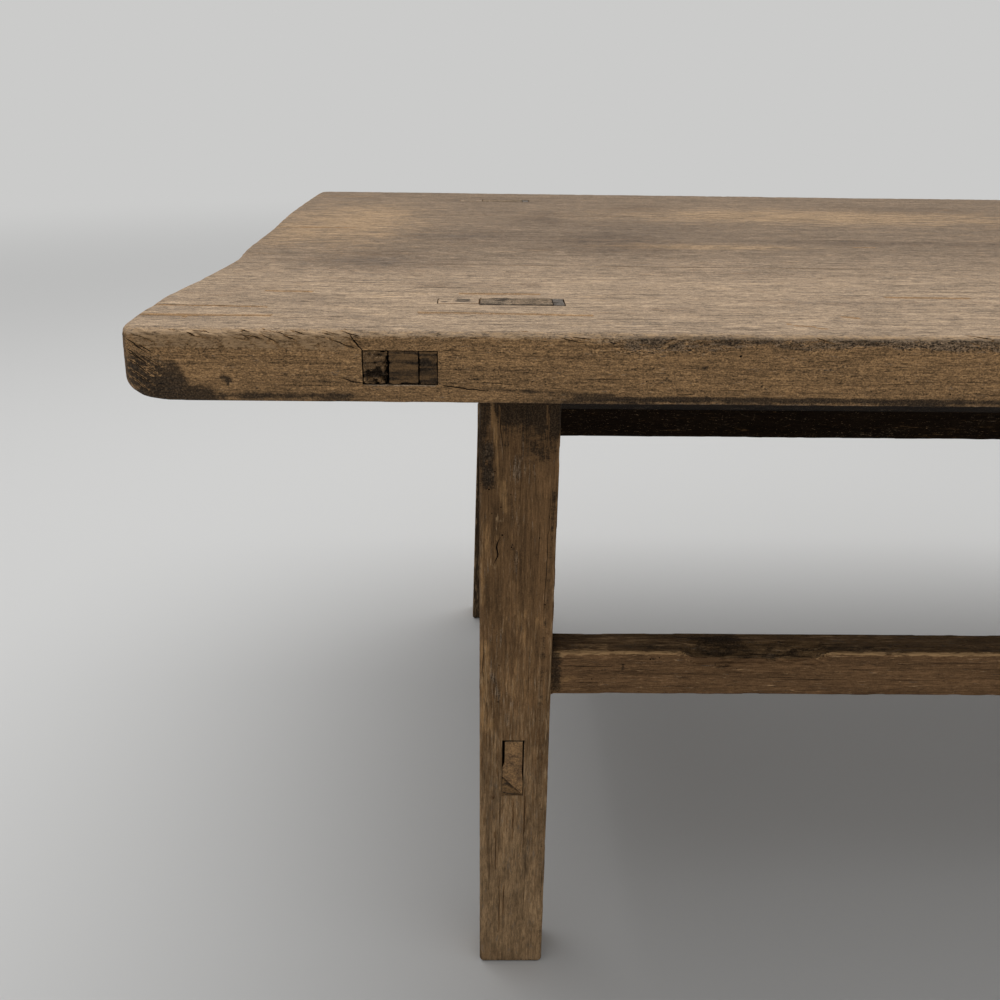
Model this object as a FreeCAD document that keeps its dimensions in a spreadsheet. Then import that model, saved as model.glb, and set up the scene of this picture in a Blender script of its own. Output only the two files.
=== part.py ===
"""A low elm kang table: a plank top on four through-tenoned legs, tied by four stretchers.

Millimetres, +Z up. The origin is on the floor, under the middle of the top. X runs along the length,
Y along the depth, and the long edge at -Y is the front.
"""

import FreeCAD, Part
import os
import re

import Sketcher

# Every driving size, by name, with its value in millimetres and what it is on the table
SIZES = {
    "top_length": (1000.0, "length of the top over its back corners"),
    "top_depth": (581.0, "depth of the top"),
    "table_height": (420.0, "floor to the top surface"),
    "top_thickness": (31.4, "thickness of the boards"),
    "front_board_width": (172.0, "front edge to the first board joint"),
    "back_board_width": (172.0, "back edge to the second board joint"),
    "end_dip": (14.0, "how far the ends are hollowed at the first board joint"),
    "front_set_back": (2.5, "how far the front corners lie inside the back ones"),
    "end_shoulder": (58.0, "straight part of the front board's end, from the front edge"),
    "corner_round": (9.0, "wear of the upright corners of the top"),
    "arris_round": (3.5, "wear of the upper edges of the top"),
    "under_round": (2.5, "wear of the lower edges of the top"),
    "toe_round": (11.0, "deeper wear under each end of the top, near its corners"),
    "leg_inset_along": (176.5, "end of the top to a leg's middle"),
    "leg_inset_across": (66.3, "long edge of the top to a leg's middle, at the shoulder"),
    "leg_width_top": (40.8, "leg along X, under the top"),
    "leg_width_foot": (39.3, "leg along X, at the floor"),
    "leg_depth_top": (31.3, "leg along Y, under the top"),
    "leg_depth_foot": (27.8, "leg along Y, at the floor"),
    "front_foot_shift": (1.6, "how far a front foot stands in from its shoulder, along X"),
    "back_foot_spread": (8.5, "how far a back foot stands out from its shoulder, along X"),
    "foot_tuck": (2.9, "how far every foot stands in from its shoulder, along Y"),
    "leg_round": (2.5, "wear of a leg's upright edges"),
    "foot_round": (3.5, "wear round the end of a foot"),
    "leg_tenon_width": (35.3, "tenon through the top, along X"),
    "leg_tenon_thick": (16.4, "tenon through the top, along Y"),
    "tenon_wedge_width": (6.2, "wedge beside the top tenon, at the surface"),
    "tenon_wedge_tip": (2.0, "the same wedge, at its lower end"),
    "tenon_wedge_length": (26.0, "the same wedge, down from the surface"),
    "packing_length": (20.5, "block that packs the outer end of the mortise, along X"),
    "packing_thick": (11.5, "the same block, along Y"),
    "batten_offset": (52.7, "leg's middle to a batten's middle, towards the end"),
    "batten_width": (13.0, "hidden batten, along X"),
    "batten_height": (15.1, "hidden batten, along Z"),
    "batten_drop": (8.3, "top surface to the batten"),
    "batten_wedge_length": (42.0, "wedges beside a batten's ends, in from the edge"),
    "outer_wedge_width": (11.3, "wedge on a batten's outer side, at the edge"),
    "outer_wedge_tip": (5.0, "the same wedge, at its inner end"),
    "inner_wedge_width": (8.3, "wedge on a batten's inner side, at the edge"),
    "inner_wedge_tip": (4.0, "the same wedge, at its inner end"),
    "stretcher_bottom": (200.6, "floor to the long stretchers"),
    "stretcher_height": (28.0, "long stretchers, along Z"),
    "stretcher_thick": (21.6, "long stretchers, along Y"),
    "stretcher_round": (1.6, "wear of the stretchers' long edges"),
    "stretcher_tenon_thick": (10.5, "tenons of the long stretchers, along Y"),
    "side_mortise_bottom": (132.8, "floor to the mortises of the side stretchers"),
    "side_mortise_height": (39.2, "mortises of the side stretchers, along Z"),
    "side_mortise_width": (12.5, "mortises of the side stretchers, along X"),
    "side_thick": (22.0, "side stretchers, along X"),
    "side_height": (34.0, "side stretchers, along Z, down from the mortise's upper end"),
    "side_wedge_height": (13.9, "wedge under a side tenon, on its outer side"),
    "side_wedge_tip": (0.8, "thin edge of the same wedge"),
    "overrun": (12.0, "how far a cutting solid runs past what it cuts"),
}

LEFT, RIGHT = -1, 1
FRONT, BACK = -1, 1
SIDES = {"left": LEFT, "right": RIGHT}
ENDS = {"front": FRONT, "back": BACK}

doc = FreeCAD.newDocument("KangTable")
sheet = doc.addObject("Spreadsheet::Sheet", "Sizes")
for row, (alias, (value, meaning)) in enumerate(SIZES.items(), start=1):
    sheet.set(f"A{row}", str(value))
    sheet.setAlias(f"A{row}", alias)
    sheet.set(f"B{row}", meaning)
doc.recompute()


def ref(text):
    """An expression whose plain names of sizes are read from the sheet."""
    return re.sub(r"[a-z_]+", lambda word: "Sizes." + word.group() if word.group() in SIZES else word.group(), text)


def bind(thing, **sizes):
    """Binds properties of thing to expressions. A double underscore in a name stands for a point."""
    for name, text in sizes.items():
        thing.setExpression(name.replace("__", "."), ref(text))


def minus(span):
    """The same span on the other side of zero."""
    low, high = span
    return f"-({high})", f"-({low})"


def around(middle, width):
    return f"{middle} - {width} / 2", f"{middle} + {width} / 2"


def outward(side, start, stop):
    """The X span of what lies start to stop outward of the middle of the legs on one side."""
    middle = "top_length / 2 - leg_inset_along"
    span = (f"{middle} + {start}", f"{middle} + {stop}")
    return span if side == RIGHT else minus(span)


def inward(end, start, stop):
    """The Y span of what lies start to stop in from the front or back edge of the top."""
    span = (f"top_depth / 2 - ({stop})", f"top_depth / 2 - ({start})")
    return span if end == BACK else minus(span)


def block(name, across, along, upright):
    """A box between three spans."""
    box = doc.addObject("Part::Box", name)
    bind(
        box,
        Length=f"({across[1]}) - ({across[0]})",
        Width=f"({along[1]}) - ({along[0]})",
        Height=f"({upright[1]}) - ({upright[0]})",
        Placement__Base__x=across[0],
        Placement__Base__y=along[0],
        Placement__Base__z=upright[0],
    )
    return box


def lying_taper(name, along, start, stop):
    """A bar along Y that runs from one XZ section, start, to another, stop."""
    bar = doc.addObject("Part::Wedge", name)
    (x_start, z_start), (x_stop, z_stop) = start, stop
    bind(bar, Ymin=along[0], Ymax=along[1])
    bind(bar, Xmin=x_start[0], Xmax=x_start[1], Zmin=z_start[0], Zmax=z_start[1])
    bind(bar, X2min=x_stop[0], X2max=x_stop[1], Z2min=z_stop[0], Z2max=z_stop[1])
    return bar


def standing_taper(name, upright, foot, head):
    """A post along Z that runs from one XY section, foot, to another, head."""
    post = doc.addObject("Part::Wedge", name)
    (x_foot, y_foot), (x_head, y_head) = foot, head
    # the wedge's own length runs along Y, so it's turned up, which turns its Z to -Y
    post.Placement.Rotation = FreeCAD.Rotation(FreeCAD.Vector(1, 0, 0), 90)
    z_foot, z_head = minus(y_foot), minus(y_head)
    bind(post, Ymin=upright[0], Ymax=upright[1])
    bind(post, Xmin=x_foot[0], Xmax=x_foot[1], Zmin=z_foot[0], Zmax=z_foot[1])
    bind(post, X2min=x_head[0], X2max=x_head[1], Z2min=z_head[0], Z2max=z_head[1])
    return post


def joined(name, pieces):
    fuse = doc.addObject("Part::MultiFuse", name)
    fuse.Shapes = pieces
    fuse.Refine = True
    return fuse


def cut(name, base, tools):
    taken = tools[0] if len(tools) == 1 else joined(name + "_tools", tools)
    less = doc.addObject("Part::Cut", name)
    less.Base, less.Tool, less.Refine = base, taken, True
    return less


def common(name, base, other):
    both = doc.addObject("Part::Common", name)
    both.Base, both.Tool, both.Refine = base, other, True
    return both


def softened(name, base, radii):
    """base with edges rounded. radii maps a size's alias to a test of an edge's direction and place."""
    doc.recompute()
    edges = []
    for number, edge in enumerate(base.Shape.Edges, start=1):
        for alias, test in radii.items():
            if test(edge):
                edges.append((number, sheet.get(alias), sheet.get(alias)))
                break
    fillet = doc.addObject("Part::Fillet", name)
    fillet.Base, fillet.Edges = base, edges
    return fillet


def rise(edge):
    """How much of an edge's length is upright, as a share."""
    return abs(edge.Vertexes[0].Z - edge.Vertexes[-1].Z) / edge.Length


# Heights that several pieces share
SHOULDER = "(table_height - top_thickness)"
THROUGH_TOP = (SHOULDER, "table_height")
BATTEN_RISE = ("table_height - batten_drop - batten_height", "table_height - batten_drop")
STRETCHER_RISE = ("stretcher_bottom", "stretcher_bottom + stretcher_height")
SIDE_TOP = "side_mortise_bottom + side_mortise_height"
SIDE_RISE = (f"{SIDE_TOP} - side_height", SIDE_TOP)
MORTISE_RISE = ("side_mortise_bottom", SIDE_TOP)


def lean(shift, height):
    """How far a leg's middle has moved at a height, where its foot has moved by shift."""
    return f"({shift}) * (1 - ({height}) / {SHOULDER})"


def foot_spread(end):
    """How far outward a foot stands along X: the back legs splay, and the front ones lean in a little."""
    return "back_foot_spread" if end == BACK else "-front_foot_shift"


def leg_blank(end_name, side_name):
    """The tapered, leaning post under the top, before its joints are cut."""
    end, side = ENDS[end_name], SIDES[side_name]
    spread = foot_spread(end)
    foot = (
        outward(side, f"{spread} - leg_width_foot / 2", f"{spread} + leg_width_foot / 2"),
        inward(
            end,
            "leg_inset_across + foot_tuck - leg_depth_foot / 2",
            "leg_inset_across + foot_tuck + leg_depth_foot / 2",
        ),
    )
    head = (
        outward(side, "(-leg_width_top / 2)", "leg_width_top / 2"),
        inward(end, "leg_inset_across - leg_depth_top / 2", "leg_inset_across + leg_depth_top / 2"),
    )
    post = standing_taper(f"post_{end_name}_{side_name}", ("0", SHOULDER), foot, head)
    return softened(
        f"blank_{end_name}_{side_name}",
        post,
        {
            "leg_round": lambda edge: rise(edge) > 0.5,
            "foot_round": lambda edge: edge.CenterOfMass.z < sheet.get("foot_round"),
        },
    )


def top_joint(end_name, side_name):
    """What stands in the mortise in the top: the leg's tenon, the wedge beside it and the packing."""
    end, side = ENDS[end_name], SIDES[side_name]
    place = f"{end_name}_{side_name}"
    tenon_in = "leg_width_top / 2 - leg_tenon_width"
    tenon_along = inward(
        end, "leg_inset_across - leg_tenon_thick / 2", "leg_inset_across + leg_tenon_thick / 2"
    )
    tenon = block(f"tenon_{place}", outward(side, tenon_in, "leg_width_top / 2"), tenon_along, THROUGH_TOP)
    wedge = standing_taper(
        f"tenon_wedge_{place}",
        ("table_height - tenon_wedge_length", "table_height"),
        (outward(side, f"{tenon_in} - tenon_wedge_tip", tenon_in), tenon_along),
        (outward(side, f"{tenon_in} - tenon_wedge_width", tenon_in), tenon_along),
    )
    packing = block(
        f"tenon_packing_{place}",
        outward(side, "leg_width_top / 2", "leg_width_top / 2 + packing_length"),
        inward(end, "leg_inset_across - packing_thick / 2", "leg_inset_across + packing_thick / 2"),
        THROUGH_TOP,
    )
    return tenon, wedge, packing


def batten(side_name):
    """The bar that lies hidden in all three boards and shows its ends in the long edges."""
    side = SIDES[side_name]
    across = outward(side, *around("batten_offset", "batten_width"))
    return block(f"batten_{side_name}", across, ("-top_depth / 2", "top_depth / 2"), BATTEN_RISE)


def batten_wedge(end_name, side_name, where):
    """A wedge driven in beside a batten's end, on its outer or its inner side."""
    end, side = ENDS[end_name], SIDES[side_name]
    if where == "outer":
        face = "batten_offset + batten_width / 2"
        wide = outward(side, face, f"{face} + outer_wedge_width")
        thin = outward(side, face, f"{face} + outer_wedge_tip")
    else:
        face = "batten_offset - batten_width / 2"
        wide = outward(side, f"{face} - inner_wedge_width", face)
        thin = outward(side, f"{face} - inner_wedge_tip", face)
    along = inward(end, "0", "batten_wedge_length")
    sections = [(wide, BATTEN_RISE), (thin, BATTEN_RISE)]
    if end == BACK:
        sections.reverse()
    return lying_taper(f"batten_wedge_{end_name}_{side_name}_{where}", along, *sections)


def long_stretcher(end_name, blanks):
    """A stretcher along the length, shouldered against both legs, with tenons through them."""
    end = ENDS[end_name]
    middle = f"leg_inset_across + {lean('foot_tuck', 'stretcher_bottom + stretcher_height / 2')}"
    leg_middle = "top_length / 2 - leg_inset_along"
    bar = softened(
        f"bar_{end_name}",
        block(
            f"square_bar_{end_name}",
            (f"-({leg_middle})", leg_middle),
            inward(end, *around(middle, "stretcher_thick")),
            STRETCHER_RISE,
        ),
        {"stretcher_round": lambda edge: abs(edge.Vertexes[0].X - edge.Vertexes[-1].X) > edge.Length / 2},
    )
    tenon = block(
        f"long_tenon_{end_name}",
        (f"-({leg_middle} + leg_width_top + overrun)", f"{leg_middle} + leg_width_top + overrun"),
        inward(end, *around(middle, "stretcher_tenon_thick")),
        STRETCHER_RISE,
    )
    legs = joined(f"legs_at_{end_name}", blanks)
    between = cut(f"between_legs_{end_name}", bar, [legs])
    inside = common(f"in_legs_{end_name}", tenon, legs)
    return joined(f"stretcher_{end_name}", [between, inside]), tenon


def side_section(side, end, width, rise_span):
    """An XZ section of a side stretcher at the legs of one end, which lean their own way."""
    spread = lean(foot_spread(end), "side_mortise_bottom + side_mortise_height / 2")
    return outward(side, *around(spread, width)), rise_span


def side_stretcher(side_name, blanks):
    """A stretcher along the depth, lower than the long ones, with wedged tenons through the legs."""
    side = SIDES[side_name]
    leg_middle = "top_depth / 2 - leg_inset_across"
    bar = softened(
        f"bar_{side_name}",
        lying_taper(
            f"square_bar_{side_name}",
            (f"-({leg_middle})", leg_middle),
            side_section(side, FRONT, "side_thick", SIDE_RISE),
            side_section(side, BACK, "side_thick", SIDE_RISE),
        ),
        {"stretcher_round": lambda edge: abs(edge.Vertexes[0].Y - edge.Vertexes[-1].Y) > edge.Length / 2},
    )
    tenon = lying_taper(
        f"side_tenon_{side_name}",
        ("-top_depth / 2", "top_depth / 2"),
        side_section(side, FRONT, "side_mortise_width", MORTISE_RISE),
        side_section(side, BACK, "side_mortise_width", MORTISE_RISE),
    )
    wedge_seats = [side_wedge_seat(end_name, side_name) for end_name in ENDS]
    legs = joined(f"legs_at_{side_name}", blanks)
    between = cut(f"between_legs_{side_name}", bar, [legs])
    inside = common(f"in_legs_{side_name}", cut(f"cut_tenon_{side_name}", tenon, wedge_seats), legs)
    return joined(f"side_stretcher_{side_name}", [between, inside]), tenon, wedge_seats


def side_wedge_seat(end_name, side_name):
    """The three-sided space under a side tenon, high on its outer side, that its wedge fills."""
    end, side = ENDS[end_name], SIDES[side_name]
    spread = lean(foot_spread(end), "side_mortise_bottom + side_mortise_height / 2")
    inner, outer = around(spread, "(side_mortise_width + overrun)")
    along = inward(end, "0", "leg_inset_across + leg_depth_top / 2")
    low = "side_mortise_bottom"
    # the thin edge lies past the mortise's inner wall, so the cut runs right across the tenon
    return standing_taper(
        f"wedge_seat_{end_name}_{side_name}",
        (low, f"{low} + side_wedge_height"),
        (outward(side, f"{spread} - side_mortise_width / 2", outer), along),
        (outward(side, f"{spread} + side_mortise_width / 2 - side_wedge_tip", outer), along),
    )


def outline_sketch(body, corners):
    """A closed outline of straight lines on the underside of the top, its corners bound to the sheet."""
    sketch = body.newObject("Sketcher::SketchObject", body.Name + "_outline")
    plane = next(item for item in body.Origin.OriginFeatures if item.Role == "XY_Plane")
    sketch.AttachmentSupport = [(plane, "")]
    sketch.MapMode = "FlatFace"
    bind(sketch, AttachmentOffset__Base__z=SHOULDER)
    doc.recompute()
    places = [tuple(measure(text) for text in corner) for corner in corners]
    for number, place in enumerate(places):
        follow = places[(number + 1) % len(places)]
        sketch.addGeometry(Part.LineSegment(FreeCAD.Vector(*place, 0), FreeCAD.Vector(*follow, 0)), False)
    for number, corner in enumerate(corners):
        sketch.addConstraint(Sketcher.Constraint("Coincident", number, 2, (number + 1) % len(corners), 1))
        for direction, text, value in zip(("DistanceX", "DistanceY"), corner, places[number]):
            tied = sketch.addConstraint(Sketcher.Constraint(direction, -1, 1, number, 1, value))
            sketch.setExpression(f"Constraints[{tied}]", ref(text))
    return sketch


def measure(text):
    """The present value of an expression, in millimetres."""
    value = sheet.evalExpression(ref(text).replace("Sizes.", ""))
    return float(getattr(value, "Value", value))


def board(name, corners, rounds):
    """A plank of the top: its outline, padded up to the surface, with its outer edges worn round."""
    body = doc.addObject("PartDesign::Body", name + "_plank")
    pad = body.newObject("PartDesign::Pad", name + "_pad")
    pad.Profile = outline_sketch(body, corners)
    bind(pad, Length="top_thickness")
    doc.recompute()
    last = pad
    for step, (alias, test) in enumerate(rounds):
        edges = [f"Edge{n}" for n, edge in enumerate(last.Shape.Edges, start=1) if test(edge)]
        fillet = body.newObject("PartDesign::Fillet", f"{name}_round_{step}")
        fillet.Base = (last, edges)
        bind(fillet, Radius=alias)
        doc.recompute()
        last = fillet
    body.Tip = last
    return body


def is_high(edge):
    return edge.BoundBox.ZMin > sheet.get("table_height") - sheet.get("arris_round") / 2


def is_low(edge):
    return edge.BoundBox.ZMax < measure(SHOULDER) + sheet.get("under_round") / 2


def is_joint(edge, joints):
    """Whether an edge lies along a joint between boards, where the boards stay square."""
    return any(abs(edge.BoundBox.YMin - y) + abs(edge.BoundBox.YMax - y) < edge.Length / 2 for y in joints)


def plank_rounds(joints, outer):
    """Which edges of a plank are worn, and how much. outer is the Y of the plank's free long edge, if any."""
    rounds = []
    if outer is not None:
        rounds.append(
            ("corner_round", lambda edge: rise(edge) > 0.5 and abs(edge.BoundBox.YMin - outer) < edge.Length / 2)
        )
    rounds.append(("arris_round", lambda edge: is_high(edge) and not is_joint(edge, joints)))
    rounds.append(("under_round", lambda edge: is_low(edge) and not is_joint(edge, joints)))
    return rounds


def worn_toes(name, plank, end_reach):
    """The plank with its lower end edges worn away, most where the end stands out as far as end_reach."""
    long_block = block(f"{name}_block", (f"-{end_reach}", end_reach), ("-top_depth / 2", "top_depth / 2"), THROUGH_TOP)
    worn = softened(
        f"{name}_worn_block",
        long_block,
        {"toe_round": lambda edge: is_low(edge) and edge.BoundBox.YLength > edge.Length / 2},
    )
    return common(f"{name}_worn", plank, worn)


FRONT_JOINT = "(-top_depth / 2 + front_board_width)"
BACK_JOINT = "(top_depth / 2 - back_board_width)"
DIPPED_END = "(top_length / 2 - end_dip)"
FRONT_END = "(top_length / 2 - front_set_back)"
# the ends run straight from the dip at the first joint to the back corners
BACK_JOINT_END = "(top_length / 2 - end_dip * back_board_width / (top_depth - front_board_width))"


def mirrored(right_side):
    """A board's corners: those on its right side, front to back, and the same on the left, back to front."""
    return right_side + [(f"-{x}", y) for x, y in reversed(right_side)]


def top_boards():
    front_line = "(-top_depth / 2)"
    joints = [measure(FRONT_JOINT), measure(BACK_JOINT)]
    half_depth = measure("top_depth / 2")
    front = board(
        "top_board_front",
        mirrored(
            [
                (FRONT_END, front_line),
                (FRONT_END, f"{front_line} + end_shoulder"),
                (DIPPED_END, FRONT_JOINT),
            ]
        ),
        plank_rounds(joints, -half_depth),
    )
    middle = board(
        "top_board_middle",
        mirrored([(DIPPED_END, FRONT_JOINT), (BACK_JOINT_END, BACK_JOINT)]),
        plank_rounds(joints, None),
    )
    back = board(
        "top_board_back",
        mirrored([(BACK_JOINT_END, BACK_JOINT), ("top_length / 2", "top_depth / 2")]),
        plank_rounds(joints, half_depth),
    )
    return (
        worn_toes("top_board_front", front, FRONT_END),
        middle,
        worn_toes("top_board_back", back, "(top_length / 2)"),
    )


# The pieces are made from the legs outward, and each joint is cut from the solid that fills it
parts = {}
blanks = {(end, side): leg_blank(end, side) for end in ENDS for side in SIDES}
long_tenons, side_tenons, wedge_seats = {}, {}, {}

for end in ENDS:
    piece, long_tenons[end] = long_stretcher(end, [blanks[end, side] for side in SIDES])
    parts[f"stretcher_{end}"] = piece

for side in SIDES:
    piece, side_tenons[side], seats = side_stretcher(side, [blanks[end, side] for end in ENDS])
    parts[f"side_stretcher_{side}"] = piece
    wedge_seats.update({(end, side): seat for end, seat in zip(ENDS, seats)})

board_tools = {"front": [], "middle": [], "back": []}
for side in SIDES:
    bar = batten(side)
    parts[f"batten_{side}"] = bar
    for tools in board_tools.values():
        tools.append(bar)

for end in ENDS:
    for side in SIDES:
        place = f"{end}_{side}"
        tenon, wedge, packing = top_joint(end, side)
        board_tools[end] += [tenon, wedge, packing]
        parts[f"tenon_wedge_{place}"] = wedge
        parts[f"tenon_packing_{place}"] = packing
        for where in ("outer", "inner"):
            driven = batten_wedge(end, side, where)
            board_tools[end].append(driven)
            parts[f"batten_wedge_{place}_{where}"] = driven
        blank, seat = blanks[end, side], wedge_seats[end, side]
        whole = joined(f"whole_leg_{place}", [blank, tenon])
        parts[f"leg_{place}"] = cut(f"leg_{place}", whole, [long_tenons[end], side_tenons[side]])
        in_mortise = common(f"seat_in_mortise_{place}", seat, side_tenons[side])
        parts[f"side_tenon_wedge_{place}"] = common(f"side_tenon_wedge_{place}", in_mortise, blank)

for where, plank in zip(("front", "middle", "back"), top_boards()):
    parts[f"top_board_{where}"] = cut(f"top_board_{where}", plank, board_tools[where])

doc.recompute()
for name, piece in parts.items():
    piece.Label = name

# Nothing is written unless every object is sound
for thing in doc.Objects:
    if "Invalid" in thing.State or "Error" in thing.State:
        raise RuntimeError(f"{thing.Name} failed: {thing.State}")
for name, piece in parts.items():
    if piece.Shape.isNull() or not piece.Shape.isValid() or len(piece.Shape.Solids) != 1:
        raise RuntimeError(f"{name} isn't one sound solid")

os.makedirs("parts", exist_ok=True)
for name, piece in parts.items():
    piece.Shape.exportStep(f"parts/{name}.step")
    box = piece.Shape.BoundBox
    print(f"{name}: {piece.Shape.Volume / 1000:.1f} cm3, {box.XLength:.1f} x {box.YLength:.1f} x {box.ZLength:.1f}")
print(len(parts), "pieces")
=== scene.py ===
# %% [markdown]
# # An old elm kang table
# The table is a low one, made of dry elm: three thick boards on four tapered legs, with two long
# stretchers between the legs and a short one at each end. The legs' tenons come through the top and are
# wedged there, and the batten that holds the boards flat shows its end in the front edge. The packed
# frame already has every piece at its real size. This lesson gives each one the surface that a hundred
# years of use have left: torn arrises, cracks, stains and dirt.

# %% Load the frame
import math

import bpy
import numpy as np
from mathutils import Matrix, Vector
from mathutils.kdtree import KDTree


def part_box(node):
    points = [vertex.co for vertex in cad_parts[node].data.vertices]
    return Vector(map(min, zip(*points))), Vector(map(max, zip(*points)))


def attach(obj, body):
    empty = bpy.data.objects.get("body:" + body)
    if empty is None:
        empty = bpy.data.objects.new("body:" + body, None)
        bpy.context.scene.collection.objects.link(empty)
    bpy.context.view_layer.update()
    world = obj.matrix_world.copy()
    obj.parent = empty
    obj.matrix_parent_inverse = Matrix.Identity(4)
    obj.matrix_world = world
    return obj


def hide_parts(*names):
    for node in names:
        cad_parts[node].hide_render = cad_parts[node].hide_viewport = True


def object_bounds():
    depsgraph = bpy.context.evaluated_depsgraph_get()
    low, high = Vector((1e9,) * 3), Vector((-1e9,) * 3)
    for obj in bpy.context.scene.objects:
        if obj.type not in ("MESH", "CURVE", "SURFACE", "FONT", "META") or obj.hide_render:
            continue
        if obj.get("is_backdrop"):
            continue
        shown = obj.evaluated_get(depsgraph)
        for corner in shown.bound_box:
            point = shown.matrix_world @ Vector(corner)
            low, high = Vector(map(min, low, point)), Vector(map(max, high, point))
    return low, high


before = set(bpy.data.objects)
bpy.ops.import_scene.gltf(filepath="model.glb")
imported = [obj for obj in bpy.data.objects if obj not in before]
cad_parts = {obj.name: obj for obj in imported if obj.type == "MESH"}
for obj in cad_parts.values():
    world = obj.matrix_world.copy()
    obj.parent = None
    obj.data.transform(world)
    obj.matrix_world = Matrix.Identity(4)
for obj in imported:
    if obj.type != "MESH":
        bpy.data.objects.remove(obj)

MM = 0.001
FAR = 999.0
cad_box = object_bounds()
print("nodes in the frame:", len(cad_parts))

# %% [markdown]
# ## Measuring in millimetres
# A joiner thinks in millimetres, and Blender in metres. Every size below is in millimetres and becomes
# metres only when a mesh is made. A piece's place comes from the frame, so that nothing is fitted by eye.
# FAR is simply farther than anything on the table.

# %% Where a piece is
def box_of(node):
    """The lowest and highest corners of a piece, in mm."""
    low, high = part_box(node)
    return np.array(low) / MM, np.array(high) / MM


def span(nodes):
    """The lowest and highest corners of several pieces together, in mm."""
    lows, highs = zip(*(box_of(node) for node in nodes))
    return np.min(lows, axis=0), np.max(highs, axis=0)


top_low, top_high = span(["top_board_front", "top_board_middle", "top_board_back"])
print("top from", top_low.round(1), "to", top_high.round(1))

# %% [markdown]
# ## Lumps, the tool that wears wood down
# Wear isn't even. A cheap way to get uneven wear that comes out the same on every run is lattice noise:
# each corner of a grid of cells gets a fixed number, and a point takes a smooth average of the eight
# corners around it. Long cells along the grain and short ones across it give something like wood.

# %% Noise with long or short lumps
def lumps(points, size, seed=0):
    """Smooth noise from -1 to 1 at each point, with lumps as long as size says along x, y and z."""
    place = points / np.array(size, float) + seed * 17.31
    cell = np.floor(place).astype(np.int64)
    part = place - cell
    part = part * part * (3 - 2 * part)
    total = np.zeros(len(points))
    for corner in np.ndindex(2, 2, 2):
        at = cell + np.array(corner)
        mixed = at[:, 0] * 374761393 + at[:, 1] * 668265263 + at[:, 2] * 1274126177
        mixed = (mixed ^ (mixed >> 13)) * 1103515245
        mixed = (mixed ^ (mixed >> 16)) & 0xFFFF
        total += np.prod(np.where(corner, part, 1 - part), axis=1) * mixed
    return total / 0x7FFF - 1


def rise(value, low, high):
    """0 below low, 1 above high and a soft rise between them."""
    share = np.clip((value - low) / (high - low), 0, 1)
    return share * share * (3 - 2 * share)


def hump(value, middle, reach):
    """1 at the middle, falling away to nothing a few reaches from it."""
    return np.exp(-(((value - middle) / reach) ** 2))


def between(value, low, high, soft):
    """1 from low to high, with soft ends outside them."""
    return rise(value, low - soft, low) * (1 - rise(value, high, high + soft))


def waves(points, seed, slow, slow_size, quick, quick_size):
    """Wear in two swells, a slow one and a quick one, each up to twice its own depth in mm."""
    slow_swell = slow * (1 + lumps(points, slow_size, seed))
    return slow_swell + quick * (1 + lumps(points, quick_size, seed + 1))


def layered(points, seed, size, share, fine_size, apart=1):
    """Lumps of one size, with a share of finer ones laid over them."""
    return lumps(points, size, seed) + share * lumps(points, fine_size, seed + apart)


print("lumps along a row:", lumps(np.arange(5)[:, None] * np.ones(3), (2, 2, 2)).round(2))

# %% [markdown]
# ## A block of cells
# Every piece here starts as a block cut into little cells by three rows of grid lines. Cells that are
# mortises or waste are taken away, and the faces that are left between wood and air are the surface.
# This gives clean four-sided faces, through holes that need no Boolean, and close lines only where the
# wear needs them.

# %% Grid lines
def grid_lines(low, high, coarse, marks=(), close=()):
    """Places from low to high, coarse apart, with a line on each mark. close lists (from, to, step,
    reach): in that stretch lines are step apart, and a reach away from it they are coarse again."""
    stops = sorted({low, high, *(mark for mark in marks if low < mark < high)})
    lines = [low]
    for start, stop in zip(stops, stops[1:]):
        walk = [start]
        while walk[-1] < stop:
            steps = [coarse]
            for first, last, fine, reach in close:
                away = max(first - walk[-1], walk[-1] - last, 0)
                steps.append(fine + (coarse - fine) * min(away / reach, 1))
            walk.append(walk[-1] + min(steps))
        stretch = (stop - start) / (walk[-1] - start)
        lines += [start + (place - start) * stretch for place in walk[1:]]
    return np.array(lines)


def near(place, fine, reach):
    """A fine stretch of grid lines around one place."""
    return place, place, fine, reach


def near_both(low, high, fine, reach):
    """Fine stretches of grid lines at both ends of a row."""
    return [near(low, fine, reach), near(high, fine, reach)]


print("lines that open up from an end:", grid_lines(0, 10, 2.0, close=[near(0, 0.5, 4)]).round(1))

# %% The outside of the cells
def cell_middles(xs, ys, zs):
    """Three arrays that broadcast to the middle of every cell."""
    x, y, z = ((lines[1:] + lines[:-1]) / 2 for lines in (xs, ys, zs))
    return x[:, None, None], y[None, :, None], z[None, None, :]


def inside(cells, low, high):
    """Which cells have their middle between two corners."""
    x, y, z = ((middle > a) & (middle < b) for middle, a, b in zip(cells, low, high))
    return x & y & z


def surface(xs, ys, zs, wood):
    """The points and four-sided faces between wood and air."""
    shape = (len(xs), len(ys), len(zs))
    number = np.arange(np.prod(shape)).reshape(shape)
    padded = np.pad(wood, 1).astype(np.int8)
    quads = []
    for axis in range(3):
        inner = [slice(1, -1)] * 3
        inner[axis] = slice(None)
        change = np.diff(padded, axis=axis)[tuple(inner)]
        one, two = np.eye(3, dtype=int)[[(axis + 1) % 3, (axis + 2) % 3]]
        for sign, ring in ((-1, (0 * one, one, one + two, two)), (1, (0 * one, two, one + two, one))):
            at = np.argwhere(change == sign)
            quads.append(np.stack([number[tuple((at + corner).T)] for corner in ring], axis=1))
    used, quads = np.unique(np.concatenate(quads), return_inverse=True)
    i, j, k = np.unravel_index(used, shape)
    return np.stack([xs[i], ys[j], zs[k]], axis=1), quads.reshape(-1, 4)


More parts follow.
